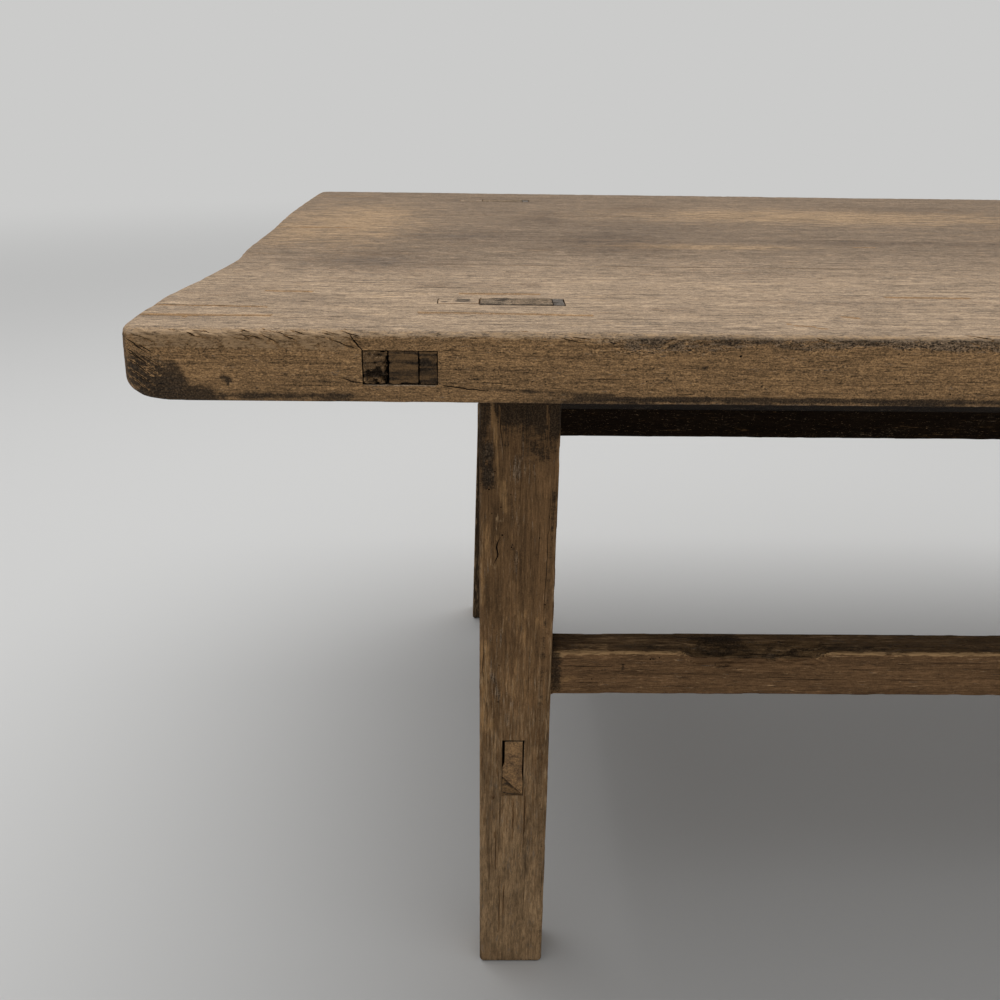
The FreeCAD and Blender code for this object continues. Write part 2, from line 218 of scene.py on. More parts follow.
def outward(points, quads):
    """The unit direction out of the wood at each point."""
    a, b, c, d = (points[quads[:, n]] for n in range(4))
    facing = np.cross(c - a, d - b)
    corners = quads.ravel()
    total = [np.bincount(corners, np.repeat(facing[:, n], 4), len(points)) for n in range(3)]
    total = np.stack(total, axis=1)
    return total / np.maximum(np.linalg.norm(total, axis=1, keepdims=True), 1e-9)


print("one cell has", len(surface(*[np.arange(2.0)] * 3, np.ones((1, 1, 1), bool))[1]), "faces")

# %% [markdown]
# ## Rounding an arris
# An arris is the sharp line where two faces meet, and on old furniture it is never sharp. Rather than
# bevel the finished mesh, the grid itself is bent: near a corner, each square ring of grid lines is
# pulled to a quarter circle. The grid stays whole, and the radius may change from place to place.

# %% Square corners to round ones
def ease(a, b, radius):
    """Rounds one corner. a and b are how far a point is from the two faces that meet there."""
    u, v = np.clip(radius - a, 0, None), np.clip(radius - b, 0, None)
    both = (u > 0) & (v > 0)
    ratio = np.where(both, np.maximum(u, v) / np.maximum(np.hypot(u, v), 1e-9), 1)
    return np.where(both, radius - u * ratio, a), np.where(both, radius - v * ratio, b)


def round_block(a, b, high, low, plan, high_radius, low_radius):
    """Rounds a block's corners in plan, then its upper and lower arrises. a and b are the distances from
    its two pairs of sides, high and low those from its upper and lower face. No radius is over plan."""
    edge = np.minimum(a, b)
    ring, high = ease(edge, high, high_radius)
    ring, low = ease(ring, low, low_radius)
    shrink = np.where(edge < plan, (plan - ring) / np.maximum(plan - edge, 1e-9), 1)
    u, v = np.clip(plan - a, 0, None) * shrink, np.clip(plan - b, 0, None) * shrink
    both = (u > 0) & (v > 0)
    ratio = np.where(both, np.maximum(u, v) / np.maximum(np.hypot(u, v), 1e-9), 1)
    return np.where(a < plan, plan - u * ratio, a), np.where(b < plan, plan - v * ratio, b), high, low


print("an arris of 5 mm goes in by", ease(np.zeros(1), np.zeros(1), 5.0)[0].round(2), "mm each way")

# %% [markdown]
# ## From points to a piece
# Each piece is one mesh that rides on the frame's only body and stands for one piece of the frame. Its
# wear is also painted on its points as plain numbers, such as how much sun or dirt a place has had, and
# the finishes read these numbers later.

# %% Make a piece
def make_mesh(name, points, faces, paint, cut=0.0):
    """An object with a mesh and the numbers painted on its points. cut is 1 on the faces of a blade."""
    mesh = bpy.data.meshes.new(name)
    mesh.from_pydata((points * MM).tolist(), [], [list(face) for face in faces])
    for label, values in paint.items():
        layer = mesh.attributes.new(label, "FLOAT", "POINT")
        layer.data.foreach_set("value", np.clip(values, 0, 1).astype(np.float32))
    layer = mesh.attributes.new("cut", "FLOAT", "FACE")
    layer.data.foreach_set("value", np.full(len(faces), cut, np.float32))
    made = bpy.data.objects.new(name, mesh)
    bpy.context.scene.collection.objects.link(made)
    return made


def make_piece(name, node, finish, points, quads, paint, blades=(), crease=50):
    """A finished mesh object for one node of the frame, with its cracks cut."""
    piece = make_mesh(name, points, quads, paint)
    if blades:
        cut_cracks(piece, blades)
    piece.data.shade_smooth()
    piece.data.set_sharp_from_angle(angle=math.radians(crease))
    piece.data.materials.clear()
    piece.data.materials.append(finish)
    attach(piece, "root")
    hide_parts(node)
    print(f"{name}: {len(piece.data.polygons)} faces")
    return piece


# %% [markdown]
# ## Cutting cracks
# A crack is thinner than any grid that covers a whole board. So each one is cut by a blade, a long thin
# wedge that follows a crooked path on the surface and points into the wood. A worm hole is cut by a small
# pin. All of a piece's blades are one mesh, and one Boolean takes them away together.

# %% Blades and pins
ABOVE = 2.5
PIN_SIDES = 9


def wander(stops, seed, wobble=0.35, step=1.6):
    """A crooked path through a few stops on the surface."""
    stops = np.array(stops, float)
    run = np.concatenate([[0], np.cumsum(np.linalg.norm(np.diff(stops, axis=0), axis=1))])
    places = np.linspace(0, run[-1], max(int(run[-1] / step), 6))
    path = np.stack([np.interp(places, run, stops[:, axis]) for axis in range(3)], axis=1)
    slow = [lumps(path, (4, 4, 4), seed + axis) for axis in range(3)]
    quick = [lumps(path, (1.7, 1.7, 1.7), seed + axis + 3) for axis in range(3)]
    return path + wobble * np.stack(slow, axis=1) + 0.6 * wobble * np.stack(quick, axis=1)


def blade(path, into, width, depth):
    """The points and faces of a blade along a path. into points into the wood."""
    into = np.broadcast_to(np.array(into, float) / np.linalg.norm(into), path.shape)
    swell = np.sin(np.pi * np.linspace(0.04, 0.96, len(path)))[:, None] ** 0.7
    aside = np.cross(np.gradient(path, axis=0), into)
    aside /= np.maximum(np.linalg.norm(aside, axis=1, keepdims=True), 1e-9)
    half = width / 2 * swell * (depth + ABOVE) / depth
    back = path - into * ABOVE
    points = np.stack([back + aside * half, back - aside * half, path + into * depth * swell], axis=1)
    points = points.reshape(-1, 3)
    faces = [
        (3 * i + k, 3 * i + (k + 1) % 3, 3 * i + 3 + (k + 1) % 3, 3 * i + 3 + k)
        for i in range(len(path) - 1) for k in range(3)
    ]
    last = 3 * len(path)
    return points, faces + [(2, 1, 0), (last - 3, last - 2, last - 1)]


def pin(place, into, radius, depth):
    """The points and faces of a pin that bores one worm hole."""
    into = np.array(into, float) / np.linalg.norm(into)
    one = np.cross(into, (0.31, 0.52, 0.79))
    one /= np.linalg.norm(one)
    two = np.cross(into, one)
    turns = np.arange(PIN_SIDES) * 2 * math.pi / PIN_SIDES
    ring = radius * (np.cos(turns)[:, None] * one + np.sin(turns)[:, None] * two)
    points = np.concatenate([place - into * ABOVE + ring, place + into * depth + ring * 0.7])
    n = PIN_SIDES
    faces = [(i, (i + 1) % n, n + (i + 1) % n, n + i) for i in range(n)]
    return points, faces + [tuple(range(n - 1, -1, -1)), tuple(range(n, 2 * n))]


def nearest_labels(piece, places):
    """The numbers painted on a piece, at its point nearest to each place."""
    tree = KDTree(len(piece.data.vertices))
    for number, vertex in enumerate(piece.data.vertices):
        tree.insert(vertex.co, number)
    tree.balance()
    nearest = [tree.find(place * MM)[1] for place in places]
    labels = {}
    for layer in piece.data.attributes:
        if layer.data_type == "FLOAT" and layer.domain == "POINT":
            values = np.zeros(len(piece.data.vertices), np.float32)
            layer.data.foreach_get("value", values)
            labels[layer.name] = values[nearest]
    return labels


def cut_cracks(piece, blades):
    """Takes all the blades out of a piece. The rim of a cut keeps the colours around it."""
    count, points, faces = 0, [], []
    for blade_points, blade_faces in blades:
        points.append(blade_points)
        faces += [[corner + count for corner in face] for face in blade_faces]
        count += len(blade_points)
    points = np.concatenate(points)
    cutter = make_mesh("blades", points, faces, nearest_labels(piece, points), 1.0)
    boolean = piece.modifiers.new("cracks", "BOOLEAN")
    boolean.operation = "DIFFERENCE"
    boolean.solver = "MANIFOLD"
    boolean.object = cutter
    bpy.context.view_layer.update()
    whole = len(piece.data.polygons)
    cut = bpy.data.meshes.new_from_object(piece.evaluated_get(bpy.context.evaluated_depsgraph_get()))
    piece.modifiers.remove(boolean)
    cut.validate()
    piece.data = cut
    bpy.data.objects.remove(cutter)
    print(f"{len(blades)} blades cut {piece.name}, {whole} faces became {len(cut.polygons)}")


print("a pin has", PIN_SIDES, "sides, and a blade stands", ABOVE, "mm out of the wood")

# %% [markdown]
# ## Mixing a finish
# A finish is a tree of small nodes. Writing each link by hand hides the idea, so this helper keeps the
# tree and offers the few moves that a wood finish needs: cloudy noise with long lumps, a soft threshold,
# a mix of two colours, and the numbers painted on the mesh. All places are in the frame's own metres.

# %% A helper for finishes
def tint(red, green, blue):
    """A colour given as it looks on a screen, from 0 to 255, in the linear values that Blender wants."""
    shares = [value / 255 for value in (red, green, blue)]
    return [s / 12.92 if s <= 0.04045 else ((s + 0.055) / 1.055) ** 2.4 for s in shares] + [1]


class Finish:
    """One finish being mixed. Each move adds a node and gives back its output."""

    def __init__(self, name):
        self.material = bpy.data.materials.new(name)
        self.material.use_nodes = True
        self.tree = self.material.node_tree
        self.shader = self.tree.nodes["Principled BSDF"]
        self.place = self.tree.nodes.new("ShaderNodeTexCoord").outputs["Object"]

    def add(self, kind, sockets, **settings):
        node = self.tree.nodes.new("ShaderNode" + kind)
        for key, value in settings.items():
            setattr(node, key, value)
        for socket, value in sockets.items():
            if isinstance(value, bpy.types.NodeSocket):
                self.tree.links.new(value, node.inputs[socket])
            else:
                node.inputs[socket].default_value = value
        return node

    def cloud(self, size, detail=3.0, rough=0.55, swirl=0.0, shift=0.0):
        """Cloudy noise from 0 to 1. size is how long its lumps are along x, y and z, in mm."""
        rate = [1 / (length * MM) for length in size]
        place = self.add("VectorMath", {0: self.place, 1: rate}, operation="MULTIPLY").outputs[0]
        place = self.add("VectorMath", {0: place, 1: [shift * 3.7, shift * 5.1, shift * 2.3]}).outputs[0]
        sockets = {"Vector": place, "Scale": 1.0, "Detail": detail, "Roughness": rough, "Distortion": swirl}
        return self.add("TexNoise", sockets).outputs["Fac"]

    def soft(self, value, low, high):
        """0 below low, 1 above high, and a soft rise between them."""
        sockets = {"Value": value, "From Min": low, "From Max": high}
        return self.add("MapRange", sockets, interpolation_type="SMOOTHSTEP").outputs["Result"]

    def sum(self, one, two, operation="ADD"):
        return self.add("Math", {0: one, 1: two}, operation=operation, use_clamp=False).outputs[0]

    def times(self, one, two):
        return self.sum(one, two, "MULTIPLY")

    def mix(self, share, one, two, way="MIX"):
        node = self.add("Mix", {0: share, 6: one, 7: two}, data_type="RGBA", blend_type=way)
        return node.outputs[2]

    def mark(self, label):
        """A number painted on the mesh."""
        return self.add("Attribute", {}, attribute_name=label).outputs["Fac"]

    def done(self, colour, roughness, height, depth, shine):
        """Links the shader. height from 0 to 1 raises the surface by depth mm."""
        bump = self.add("Bump", {"Strength": 1.0, "Distance": depth * MM, "Height": height})
        self.tree.links.new(colour, self.shader.inputs["Base Color"])
        self.tree.links.new(roughness, self.shader.inputs["Roughness"])
        self.tree.links.new(bump.outputs["Normal"], self.shader.inputs["Normal"])
        self.shader.inputs["Specular IOR Level"].default_value = shine
        return self.material


print("the middle grey of a screen in linear light:", round(tint(128, 128, 128)[0], 3))

# %% [markdown]
# ## Old elm
# Elm has open pores that show as short dark dashes, lines of fibre that run the whole length, and broad
# bands of early and late wood. Its upper side is a pale grey tan and its sides and underside are brown,
# partly from fading and partly as painted light and shade; hands, dirt and painted shade darken it. Its
# ends show the cut fibres, which drink dirt and crack. One recipe does all pieces: only the way of the
# grain, the tones and the strength of marks change.

# %% The finish of every wooden piece
def old_elm(name, axis, sunned_and_lit, shaded, below, cut, bare=(178, 147, 111), shift=0.0, gloss=0.0, fine=1.0,
            broad=1.0, shine=0.25, drawn=1.0):
    """Weathered elm with its grain along an axis, 0 to 2. The tones are for its upper side, its sides, its
    underside, its end grain and torn wood. fine and broad say how strong small and wide marks are, and
    drawn how far the small ones are drawn out along the grain."""
    f = Finish(name)

    def fibre(along, across, **more):
        size = [across] * 3
        size[axis] = along
        return f.cloud(size, shift=shift + along * 0.01 + across * 0.1, **more)

    def around(value, amount):
        """Turns cloudy noise into a small step up or down from nothing."""
        return f.times(f.sum(value, -0.5), amount)

    # the growth of the tree and its fibres, from wide to small
    bands = fibre(190, 8, detail=4.0, rough=0.6, swirl=0.4)
    clouds = fibre(42, 15, detail=5.0, rough=0.65, swirl=0.6)
    patches = fibre(17, 8, detail=4.0, rough=0.7, swirl=1.0)
    streaks = fibre(26, 2.8, detail=4.0, rough=0.75, swirl=0.3)
    lines = fibre(34, 0.9, detail=3.0, rough=0.65)
    hairs = fibre(4.6 * drawn, 0.9, detail=3.0, rough=0.7, swirl=1.0 / drawn)
    curls = fibre(2.3 * drawn, 0.6, detail=2.0, rough=0.6, swirl=1.5 / drawn)
    specks = fibre(8, 2.6, detail=4.0, rough=0.8, swirl=0.8)
    grit = f.cloud((0.8, 0.8, 0.8), detail=2.0, rough=0.75, shift=shift)

    # broad tones: pale on top, darker on the sides and below, partly fading and partly painted light and
    # shade
    sun_and_painted_light = f.soft(f.sum(f.mark("sun_and_painted_light"), around(hairs, 2.0)), 0.22, 0.78)
    side = f.sum(1.0, sun_and_painted_light, "SUBTRACT")
    colour = f.mix(sun_and_painted_light, tint(*shaded), tint(*sunned_and_lit))
    colour = f.mix(f.soft(f.mark("under"), 0.2, 0.8), colour, tint(*below))
    colour = f.mix(f.sum(f.mark("shade"), around(patches, 1.2)), colour, tint(198, 196, 195), "MULTIPLY")
    warm = f.soft(f.sum(f.mark("warm"), f.sum(around(streaks, 2.8), around(patches, 1.2))), 0.3, 1.0)
    warm_tone = f.mix(sun_and_painted_light, tint(150, 116, 77), tint(172, 142, 106))
    colour = f.mix(f.times(warm, f.sum(0.85, f.times(sun_and_painted_light, -0.3))), colour, warm_tone)

    # light and dark
    small = f.sum(around(curls, 2.6), around(grit, 1.7))
    small = f.sum(small, f.times(around(hairs, 1.0), f.sum(0.9, sun_and_painted_light)))
    small = f.times(small, f.sum(f.times(side, 0.5 * fine), 0.9 * fine))
    small = f.times(small, f.sum(1.0, f.times(f.mark("grey"), 1.2)))
    small = f.sum(small, f.times(around(specks, 2.0), sun_and_painted_light))
    wide = f.sum(around(bands, 0.6 * broad), around(clouds, 0.7 * broad))
    wide = f.sum(wide, f.sum(f.times(around(lines, 0.8), f.sum(1.0, side)), around(patches, 0.4 * broad)))
    wide = f.sum(wide, f.times(around(streaks, 1.2), f.sum(0.8, sun_and_painted_light)))
    swing = f.sum(small, wide)
    tone = f.sum(f.sum(swing, 1.0), f.sum(f.times(swing, 0.7), 0.99), "MAXIMUM")
    colour = f.add("VectorMath", {0: colour, "Scale": tone}, operation="SCALE").outputs[0]

    # stains that follow the grain, and places gone grey and rough
    blotch = f.sum(f.sum(f.mark("stain"), around(patches, 2.0)), around(streaks, 2.2))
    colour = f.mix(f.times(f.soft(blotch, 0.15, 0.95), 0.9), colour, tint(204, 200, 198), "MULTIPLY")
    cool = f.times(f.soft(fibre(11, 2.6, detail=4.0, rough=0.8), 0.57, 0.66), f.times(sun_and_painted_light, 0.4))
    colour = f.mix(cool, colour, tint(104, 98, 92))
    colour = f.mix(f.soft(f.sum(f.mark("ash"), around(hairs, 2.6)), 0.3, 0.8), colour, tint(98, 94, 90))
    grey = f.soft(f.sum(f.mark("grey"), around(hairs, 2.4)), 0.25, 0.75)
    rough = f.soft(f.sum(curls, around(grit, 0.8)), 0.4, 0.6)
    rough_grey = f.mix(rough, tint(52, 43, 34), tint(140, 123, 104))
    colour = f.mix(f.times(grey, 0.75), colour, rough_grey)

    # dark pores and hairline checks
    pores = f.soft(fibre(5.5, 0.65, detail=2.0, rough=0.6, swirl=0.4), 0.60, 0.69)
    pore_share = f.times(pores, f.sum(f.times(side, -0.3), 0.5 * fine))
    colour = f.mix(pore_share, colour, tint(108, 98, 88), "MULTIPLY")
    checks = f.soft(fibre(75, 1.6, detail=2.0, rough=0.5, swirl=0.2), 0.65, 0.72)
    colour = f.mix(f.times(checks, f.sum(0.3, f.times(sun_and_painted_light, 0.25))), colour, tint(112, 103, 94), "MULTIPLY")

    # cut fibres at the ends
    end = f.soft(f.mark("end"), 0.35, 0.75)
    rings = f.cloud((1.5, 1.5, 0.9), detail=5.0, rough=0.8, swirl=0.7, shift=shift + 9)
    ring_size = [34.0, 34.0, 34.0]
    ring_size[1 if axis == 2 else 2] = 2.2
    growth = f.cloud(ring_size, detail=3.0, rough=0.6, swirl=0.7, shift=shift + 4)
    cut_light = f.sum(f.times(rings, 0.45), f.times(growth, 0.55))
    cut_tone = f.mix(f.soft(cut_light, 0.4, 0.6), tint(*[value * 0.5 for value in cut]), tint(*cut))
    colour = f.mix(f.times(end, 0.85), colour, cut_tone)

    # torn pale wood, then dirt and painted shade over everything, and the inside of cracks
    torn = f.soft(f.sum(f.mark("torn"), f.sum(around(hairs, 2.2), around(curls, 1.8))), 0.35, 0.8)
    bare_tone = f.mix(f.soft(hairs, 0.4, 0.6), tint(*[value * 0.82 for value in bare]), tint(*bare))
    colour = f.mix(f.times(torn, 0.75), colour, bare_tone)
    crumb = f.cloud((6, 3, 3), detail=6.0, rough=0.8, shift=shift + 3)
    dirt_and_shade = f.sum(f.times(f.mark("dirt_and_shade"), 1.15), f.sum(around(crumb, 1.9), around(curls, 1.4)))
    soil = f.mix(f.soft(grit, 0.46, 0.66), tint(31, 23, 15), tint(74, 60, 45))
    colour = f.mix(f.times(f.soft(dirt_and_shade, 0.4, 0.95), 0.88), colour, soil)
    # the walls of cracks and worm holes are painted nearly black: painted shade in them
    colour = f.mix(f.times(f.mark("cut"), 0.95), colour, tint(27, 20, 14))

    # how it feels
    height = f.sum(f.times(lines, 0.4), f.times(pores, -0.5))
    height = f.sum(height, f.times(hairs, 0.5))
    height = f.sum(height, f.times(checks, -0.8))
    height = f.sum(height, f.times(grit, 0.22))
    height = f.sum(height, f.times(f.times(curls, f.mark("fuzz")), 0.75))
    height = f.sum(height, f.times(f.times(f.sum(rings, growth), end), 0.7))
    roughness = f.sum(f.times(lines, 0.2), 0.74 - gloss)
    return f.done(colour, roughness, height, 0.5, shine)


TOP_TONES = ((157, 135, 111), (145, 113, 77), (82, 64, 46), (118, 90, 60))
top_front_finish = old_elm("top_front_elm", 0, *TOP_TONES, shift=1.0, fine=1.15)
top_middle_finish = old_elm("top_middle_elm", 0, *TOP_TONES, shift=2.0)
top_back_finish = old_elm("top_back_elm", 0, *TOP_TONES, shift=3.0)
packing_finish = old_elm("packing_elm", 0, *TOP_TONES, shift=8.0)
GOLD = (168, 138, 102)
LEG_TONES = ((136, 110, 80), (114, 86, 57), (92, 74, 55), (176, 152, 124), GOLD)
leg_finish = old_elm("leg_elm", 2, *LEG_TONES, shift=5.0, gloss=0.08, fine=0.36, broad=1.9, shine=0.12,
                     drawn=3.0)
# the back legs' underside tone is darker and also goes on their inner faces: painted shade under the table
BACK_LEG_PAINTED_SHADE = (*LEG_TONES[:2], (66, 52, 37), *LEG_TONES[3:])
shaded_back_leg_finish = old_elm("back_leg_painted_shade_elm", 2, *BACK_LEG_PAINTED_SHADE, shift=5.5, gloss=0.05, fine=0.4, broad=1.6, shine=0.1,
                          drawn=3.0)
STRETCHER_TONES = ((100, 78, 53), (110, 83, 57), (96, 74, 52), (150, 114, 72), (196, 158, 112))
long_finish = old_elm("long_stretcher_elm", 0, *STRETCHER_TONES, shift=6.0, fine=0.45, broad=2.0, shine=0.1,
                      drawn=2.0)
side_finish = old_elm("side_stretcher_elm", 1, *STRETCHER_TONES, shift=7.0, gloss=0.1, fine=0.6)
# the back stretcher's nearly black underside tone also goes on its inner and upper faces: painted shade under
# the table
BACK_RAIL_PAINTED_SHADE = (*STRETCHER_TONES[:2], (34, 25, 17), *STRETCHER_TONES[3:])
shaded_back_long_finish = old_elm("back_stretcher_painted_shade_elm", 0, *BACK_RAIL_PAINTED_SHADE, shift=6.5, fine=0.6, broad=2.0, shine=0.05)
WEDGE_TONES = ((122, 114, 105), (98, 76, 55), (70, 54, 40), (122, 112, 102))
wedge_finish = old_elm("tenon_wedge_elm", 2, *WEDGE_TONES, shift=8.5)
BATTEN_TONES = ((100, 78, 54), (98, 74, 50), (70, 54, 40), (124, 95, 62))
batten_finish = old_elm("batten_elm", 1, *BATTEN_TONES, shift=9.0)
print("finishes:", [material.name for material in bpy.data.materials])

# %% [markdown]
# ## The top's outline
# Seen from above, the ends of the top aren't straight. They are cut in towards the middle, most of all
# where the front board meets the next one, and the corners are rubbed round. One list of points gives how
# far the end reaches at each depth. Averaging three looks at it removes its corners.

# %% How far an end of the top reaches
END_REACH = [
    (0, 499.62), (60, 499.62), (81, 498.6), (107, 494.8), (130, 493.0), (150, 491.6), (172, 489.3),
    (192, 490.0), (215, 492.3), (243, 493.4), (307, 494.2), (364, 497.2), (400, 498.8), (475, 499.6),
    (581, 499.6),
]
END_SOFT = 9
NOMINAL_END = 500
front_y, back_y = top_low[1], top_high[1]
under_z, top_z = top_low[2], top_high[2]


def end_reach(y):
    """The distance from the table's middle to the end of its top, at depth y."""
    depth, reach = zip(*END_REACH)
    looks = [np.interp(y - front_y + shift, depth, reach) for shift in (-END_SOFT, 0, END_SOFT)]
    return sum(looks) / len(looks)


print("the end reaches", end_reach(np.array([front_y, 0, back_y])).round(1))

# %% [markdown]
# ## Holes in the boards
# Each leg's tenon comes through its board with a wedge on the inner side and a thinner packing on the
# outer side. The battens lie in slots that run right through all three boards, and near the front and
# back edges each slot is widened by two wedges. The pieces' own boxes say where the cells go away.

# %% Holes taken from the boxes of what fills them
ENDS = {"left": -1, "right": 1}
FACES = {"front": -1, "back": 1}
TENON_GAP = 0.25


def board_holes(side):
    """Corner pairs of every hole that a front or back board needs."""
    holes = []
    for end in ENDS:
        wedge = box_of(f"tenon_wedge_{side}_{end}")
        packing = box_of(f"tenon_packing_{side}_{end}")
        inner = [packing[1][0], packing[0][0]][ENDS[end] > 0]
        tenon = [wedge[0].copy(), wedge[1].copy()]
        tenon[0][0], tenon[1][0] = sorted((inner, [wedge[1][0], wedge[0][0]][ENDS[end] > 0]))
        holes += [tenon, packing]
        pair = [box_of(f"batten_wedge_{side}_{end}_{place}") for place in ("inner", "outer")]
        holes.append([np.minimum(pair[0][0], pair[1][0]), np.maximum(pair[0][1], pair[1][1])])
    return holes


batten_slots = [box_of(f"batten_{end}") for end in ENDS]
print("holes in the front board:", len(board_holes("front")) + len(batten_slots))

# %% [markdown]
# ## Where the top is stained, torn and dirty
# Marks on the top are given as soft ovals: middle, size and strength, in millimetres. They are
# broken up later by the finish's own noise, so that an oval never shows as one. Narrow marks are strokes,
# each from one place to another with a width and a strength.

# %% Marks on the top, as seen from above
STAINS = [
    (-407, -109, 70, 46, 0.85), (-440, -96, 90, 60, 0.4), (-355, 0, 60, 40, 0.7),
    (-255, -23, 60, 70, 0.9), (-230, 30, 90, 100, 0.5), (-213, 179, 45, 45, 0.6),
    (-331, 225, 60, 30, 0.6), (-296, 96, 34, 50, 0.7), (-446, 228, 22, 26, 0.5),
    (-469, -211, 26, 30, 0.5), (-354, -180, 45, 12, 0.6), (-317, -179, 9, 7, 1.0),
    (-429, -224, 20, 10, 0.5), (-198, -137, 80, 13, 0.55), (-161, -220, 70, 13, 0.6),
    (-250, -238, 17, 9, 0.6), (-284, -247, 19, 9, 0.5), (-69, -13, 110, 14, 0.8), (40, -200, 80, 18, 0.5),
    (120, 60, 90, 50, 0.7), (230, -90, 80, 40, 0.6), (310, 130, 60, 60, 0.6), (420, -30, 50, 60, 0.7),
    (380, -200, 60, 20, 0.5), (20, 190, 90, 40, 0.6), (250, 240, 70, 25, 0.5), (450, 200, 40, 40, 0.6),
    (140, -150, 60, 16, 0.5),
]
WARM = [
    (-440, 67, 55, 130, 0.85), (-60, 132, 190, 55, 0.85), (-198, -40, 60, 12, 1.1), (-470, 20, 30, 80, 0.8),
    (190, 30, 130, 30, 0.6), (350, -120, 100, 22, 0.6), (330, 200, 110, 26, 0.5),
]
ASH = [(x, y, length * 0.6, width * 0.5, 0.42 * strength) for x, y, length, width, strength in STAINS[::2]]


def strokes(u, v, marks):
    """How strong a set of strokes is at each point. Each runs from one place to another, with a width."""
    total = np.zeros(len(u))
    for u0, v0, u1, v1, width, strength in marks:
        run_u, run_v = u1 - u0, v1 - v0
        share = ((u - u0) * run_u + (v - v0) * run_v) / max(run_u ** 2 + run_v ** 2, 1e-9)
        share = np.clip(share, 0, 1)
        away = np.hypot(u - u0 - share * run_u, v - v0 - share * run_v)
        total = np.maximum(total, strength * np.exp(-((away / width) ** 2)))
    return total


def ovals(points, marks):
    """How strong a set of soft oval marks is at each point."""
    total = np.zeros(len(points))
    for x, y, length, width, strength in marks:
        away = ((points[:, 0] - x) / length) ** 2 + ((points[:, 1] - y) / width) ** 2
        total = np.maximum(total, strength * np.exp(-away))
    return total


print("stains", len(STAINS), "warm places", len(WARM))

# %% [markdown]
# ## A board of the top
# The three boards share one recipe. The cells are bent to the outline, the arrises are rounded, and then
# wear moves each point a little way into the wood: a slow waviness, torn chips along the upper arris, and
# for the front board a long broken strip under it. CORNER is the radius of a corner seen from above, and
# TOE that of the lower arris there. STRIP and CHIPS say from where to where along the front edge a kind of
# wear runs, and FAN how far round the corner the split fibres go.

# %% Bend, round and wear a board
CORNER = 13.0
TOE = 9.0
FAN = (-12, 17)
STRIP = (-276, -120)
SLIVER = (-264.5, 414.2, -257.0, 418.8, 0.9, 1.0)
CHIPS = (-486, -405)
JOINT_OPEN, END_OPEN = 0.02, 0.3
LEAN_IN = 0.9


def shape_top(points, seed):
    """Bends plain cells to the worn top. Gives the new points and how far each one was from the edges."""
    side = np.where(points[:, 0] < 0, -1, 1)
    a = NOMINAL_END - np.abs(points[:, 0])
    to_front = points[:, 1] - front_y
    to_back = back_y - points[:, 1]
    b = np.minimum(to_front, to_back)
    high, low = top_z - points[:, 2], points[:, 2] - under_z
    gaps = a, b, high, low
    along = np.stack([points[:, 0], points[:, 1] * 0, points[:, 1] * 0], axis=1)
    turn = rise((b - a) / CORNER, -1, 1)
    top_radius = 3.8 + 1.1 * lumps(along, (37, 1, 1), seed) - 0.6 * turn + 1.8 * hump(b - a, 0, 16)
    long_radius = 1.0 + 0.3 * lumps(along, (50, 1, 1), seed + 1)
    end_radius = 5 + (TOE - 5) * hump(b, 0, 70)
    low_radius = long_radius + (end_radius - long_radius) * rise((b - a) / CORNER, -1.7, 0)
    lower_half = low < high
    a, b, high, low = round_block(a, b, high, low, CORNER, top_radius, low_radius)
    z = np.where(lower_half, under_z + low, top_z - high)
    y = np.where(to_front < to_back, front_y + b, back_y - b)
    height = (z - under_z) / (top_z - under_z)
    a = a + LEAN_IN * height ** 2 * (1 - rise(a, 0, 6))
    lean = 1 - rise(a, 0, 95)
    x = side * (NOMINAL_END - a - (NOMINAL_END - end_reach(y)) * lean)
    return np.stack([x, y, z], axis=1), gaps


print("the strip runs from", *STRIP, "and the chips from", *CHIPS)

# %% [markdown]
# Chips are the part of the wear that shows most. Along the arris the fibres have lifted in slanting
# ridges, so their noise is made in two directions of its own: one along a fibre, that rolls over the
# arris from the top to the edge, and one across it.

# %% Chips and waviness
FIBRE_SLANT = math.radians(40)
STRIP_LOW = 6.5


def slanted(x, roll, along, across, seed):
    """Noise in ridges that slant over an arris. roll is how far up over the arris a point is."""
    one = x * math.cos(FIBRE_SLANT) - roll * math.sin(FIBRE_SLANT)
    two = x * math.sin(FIBRE_SLANT) + roll * math.cos(FIBRE_SLANT)
    return lumps(np.stack([one, two, 0 * x], axis=1), (along, across, 1), seed)


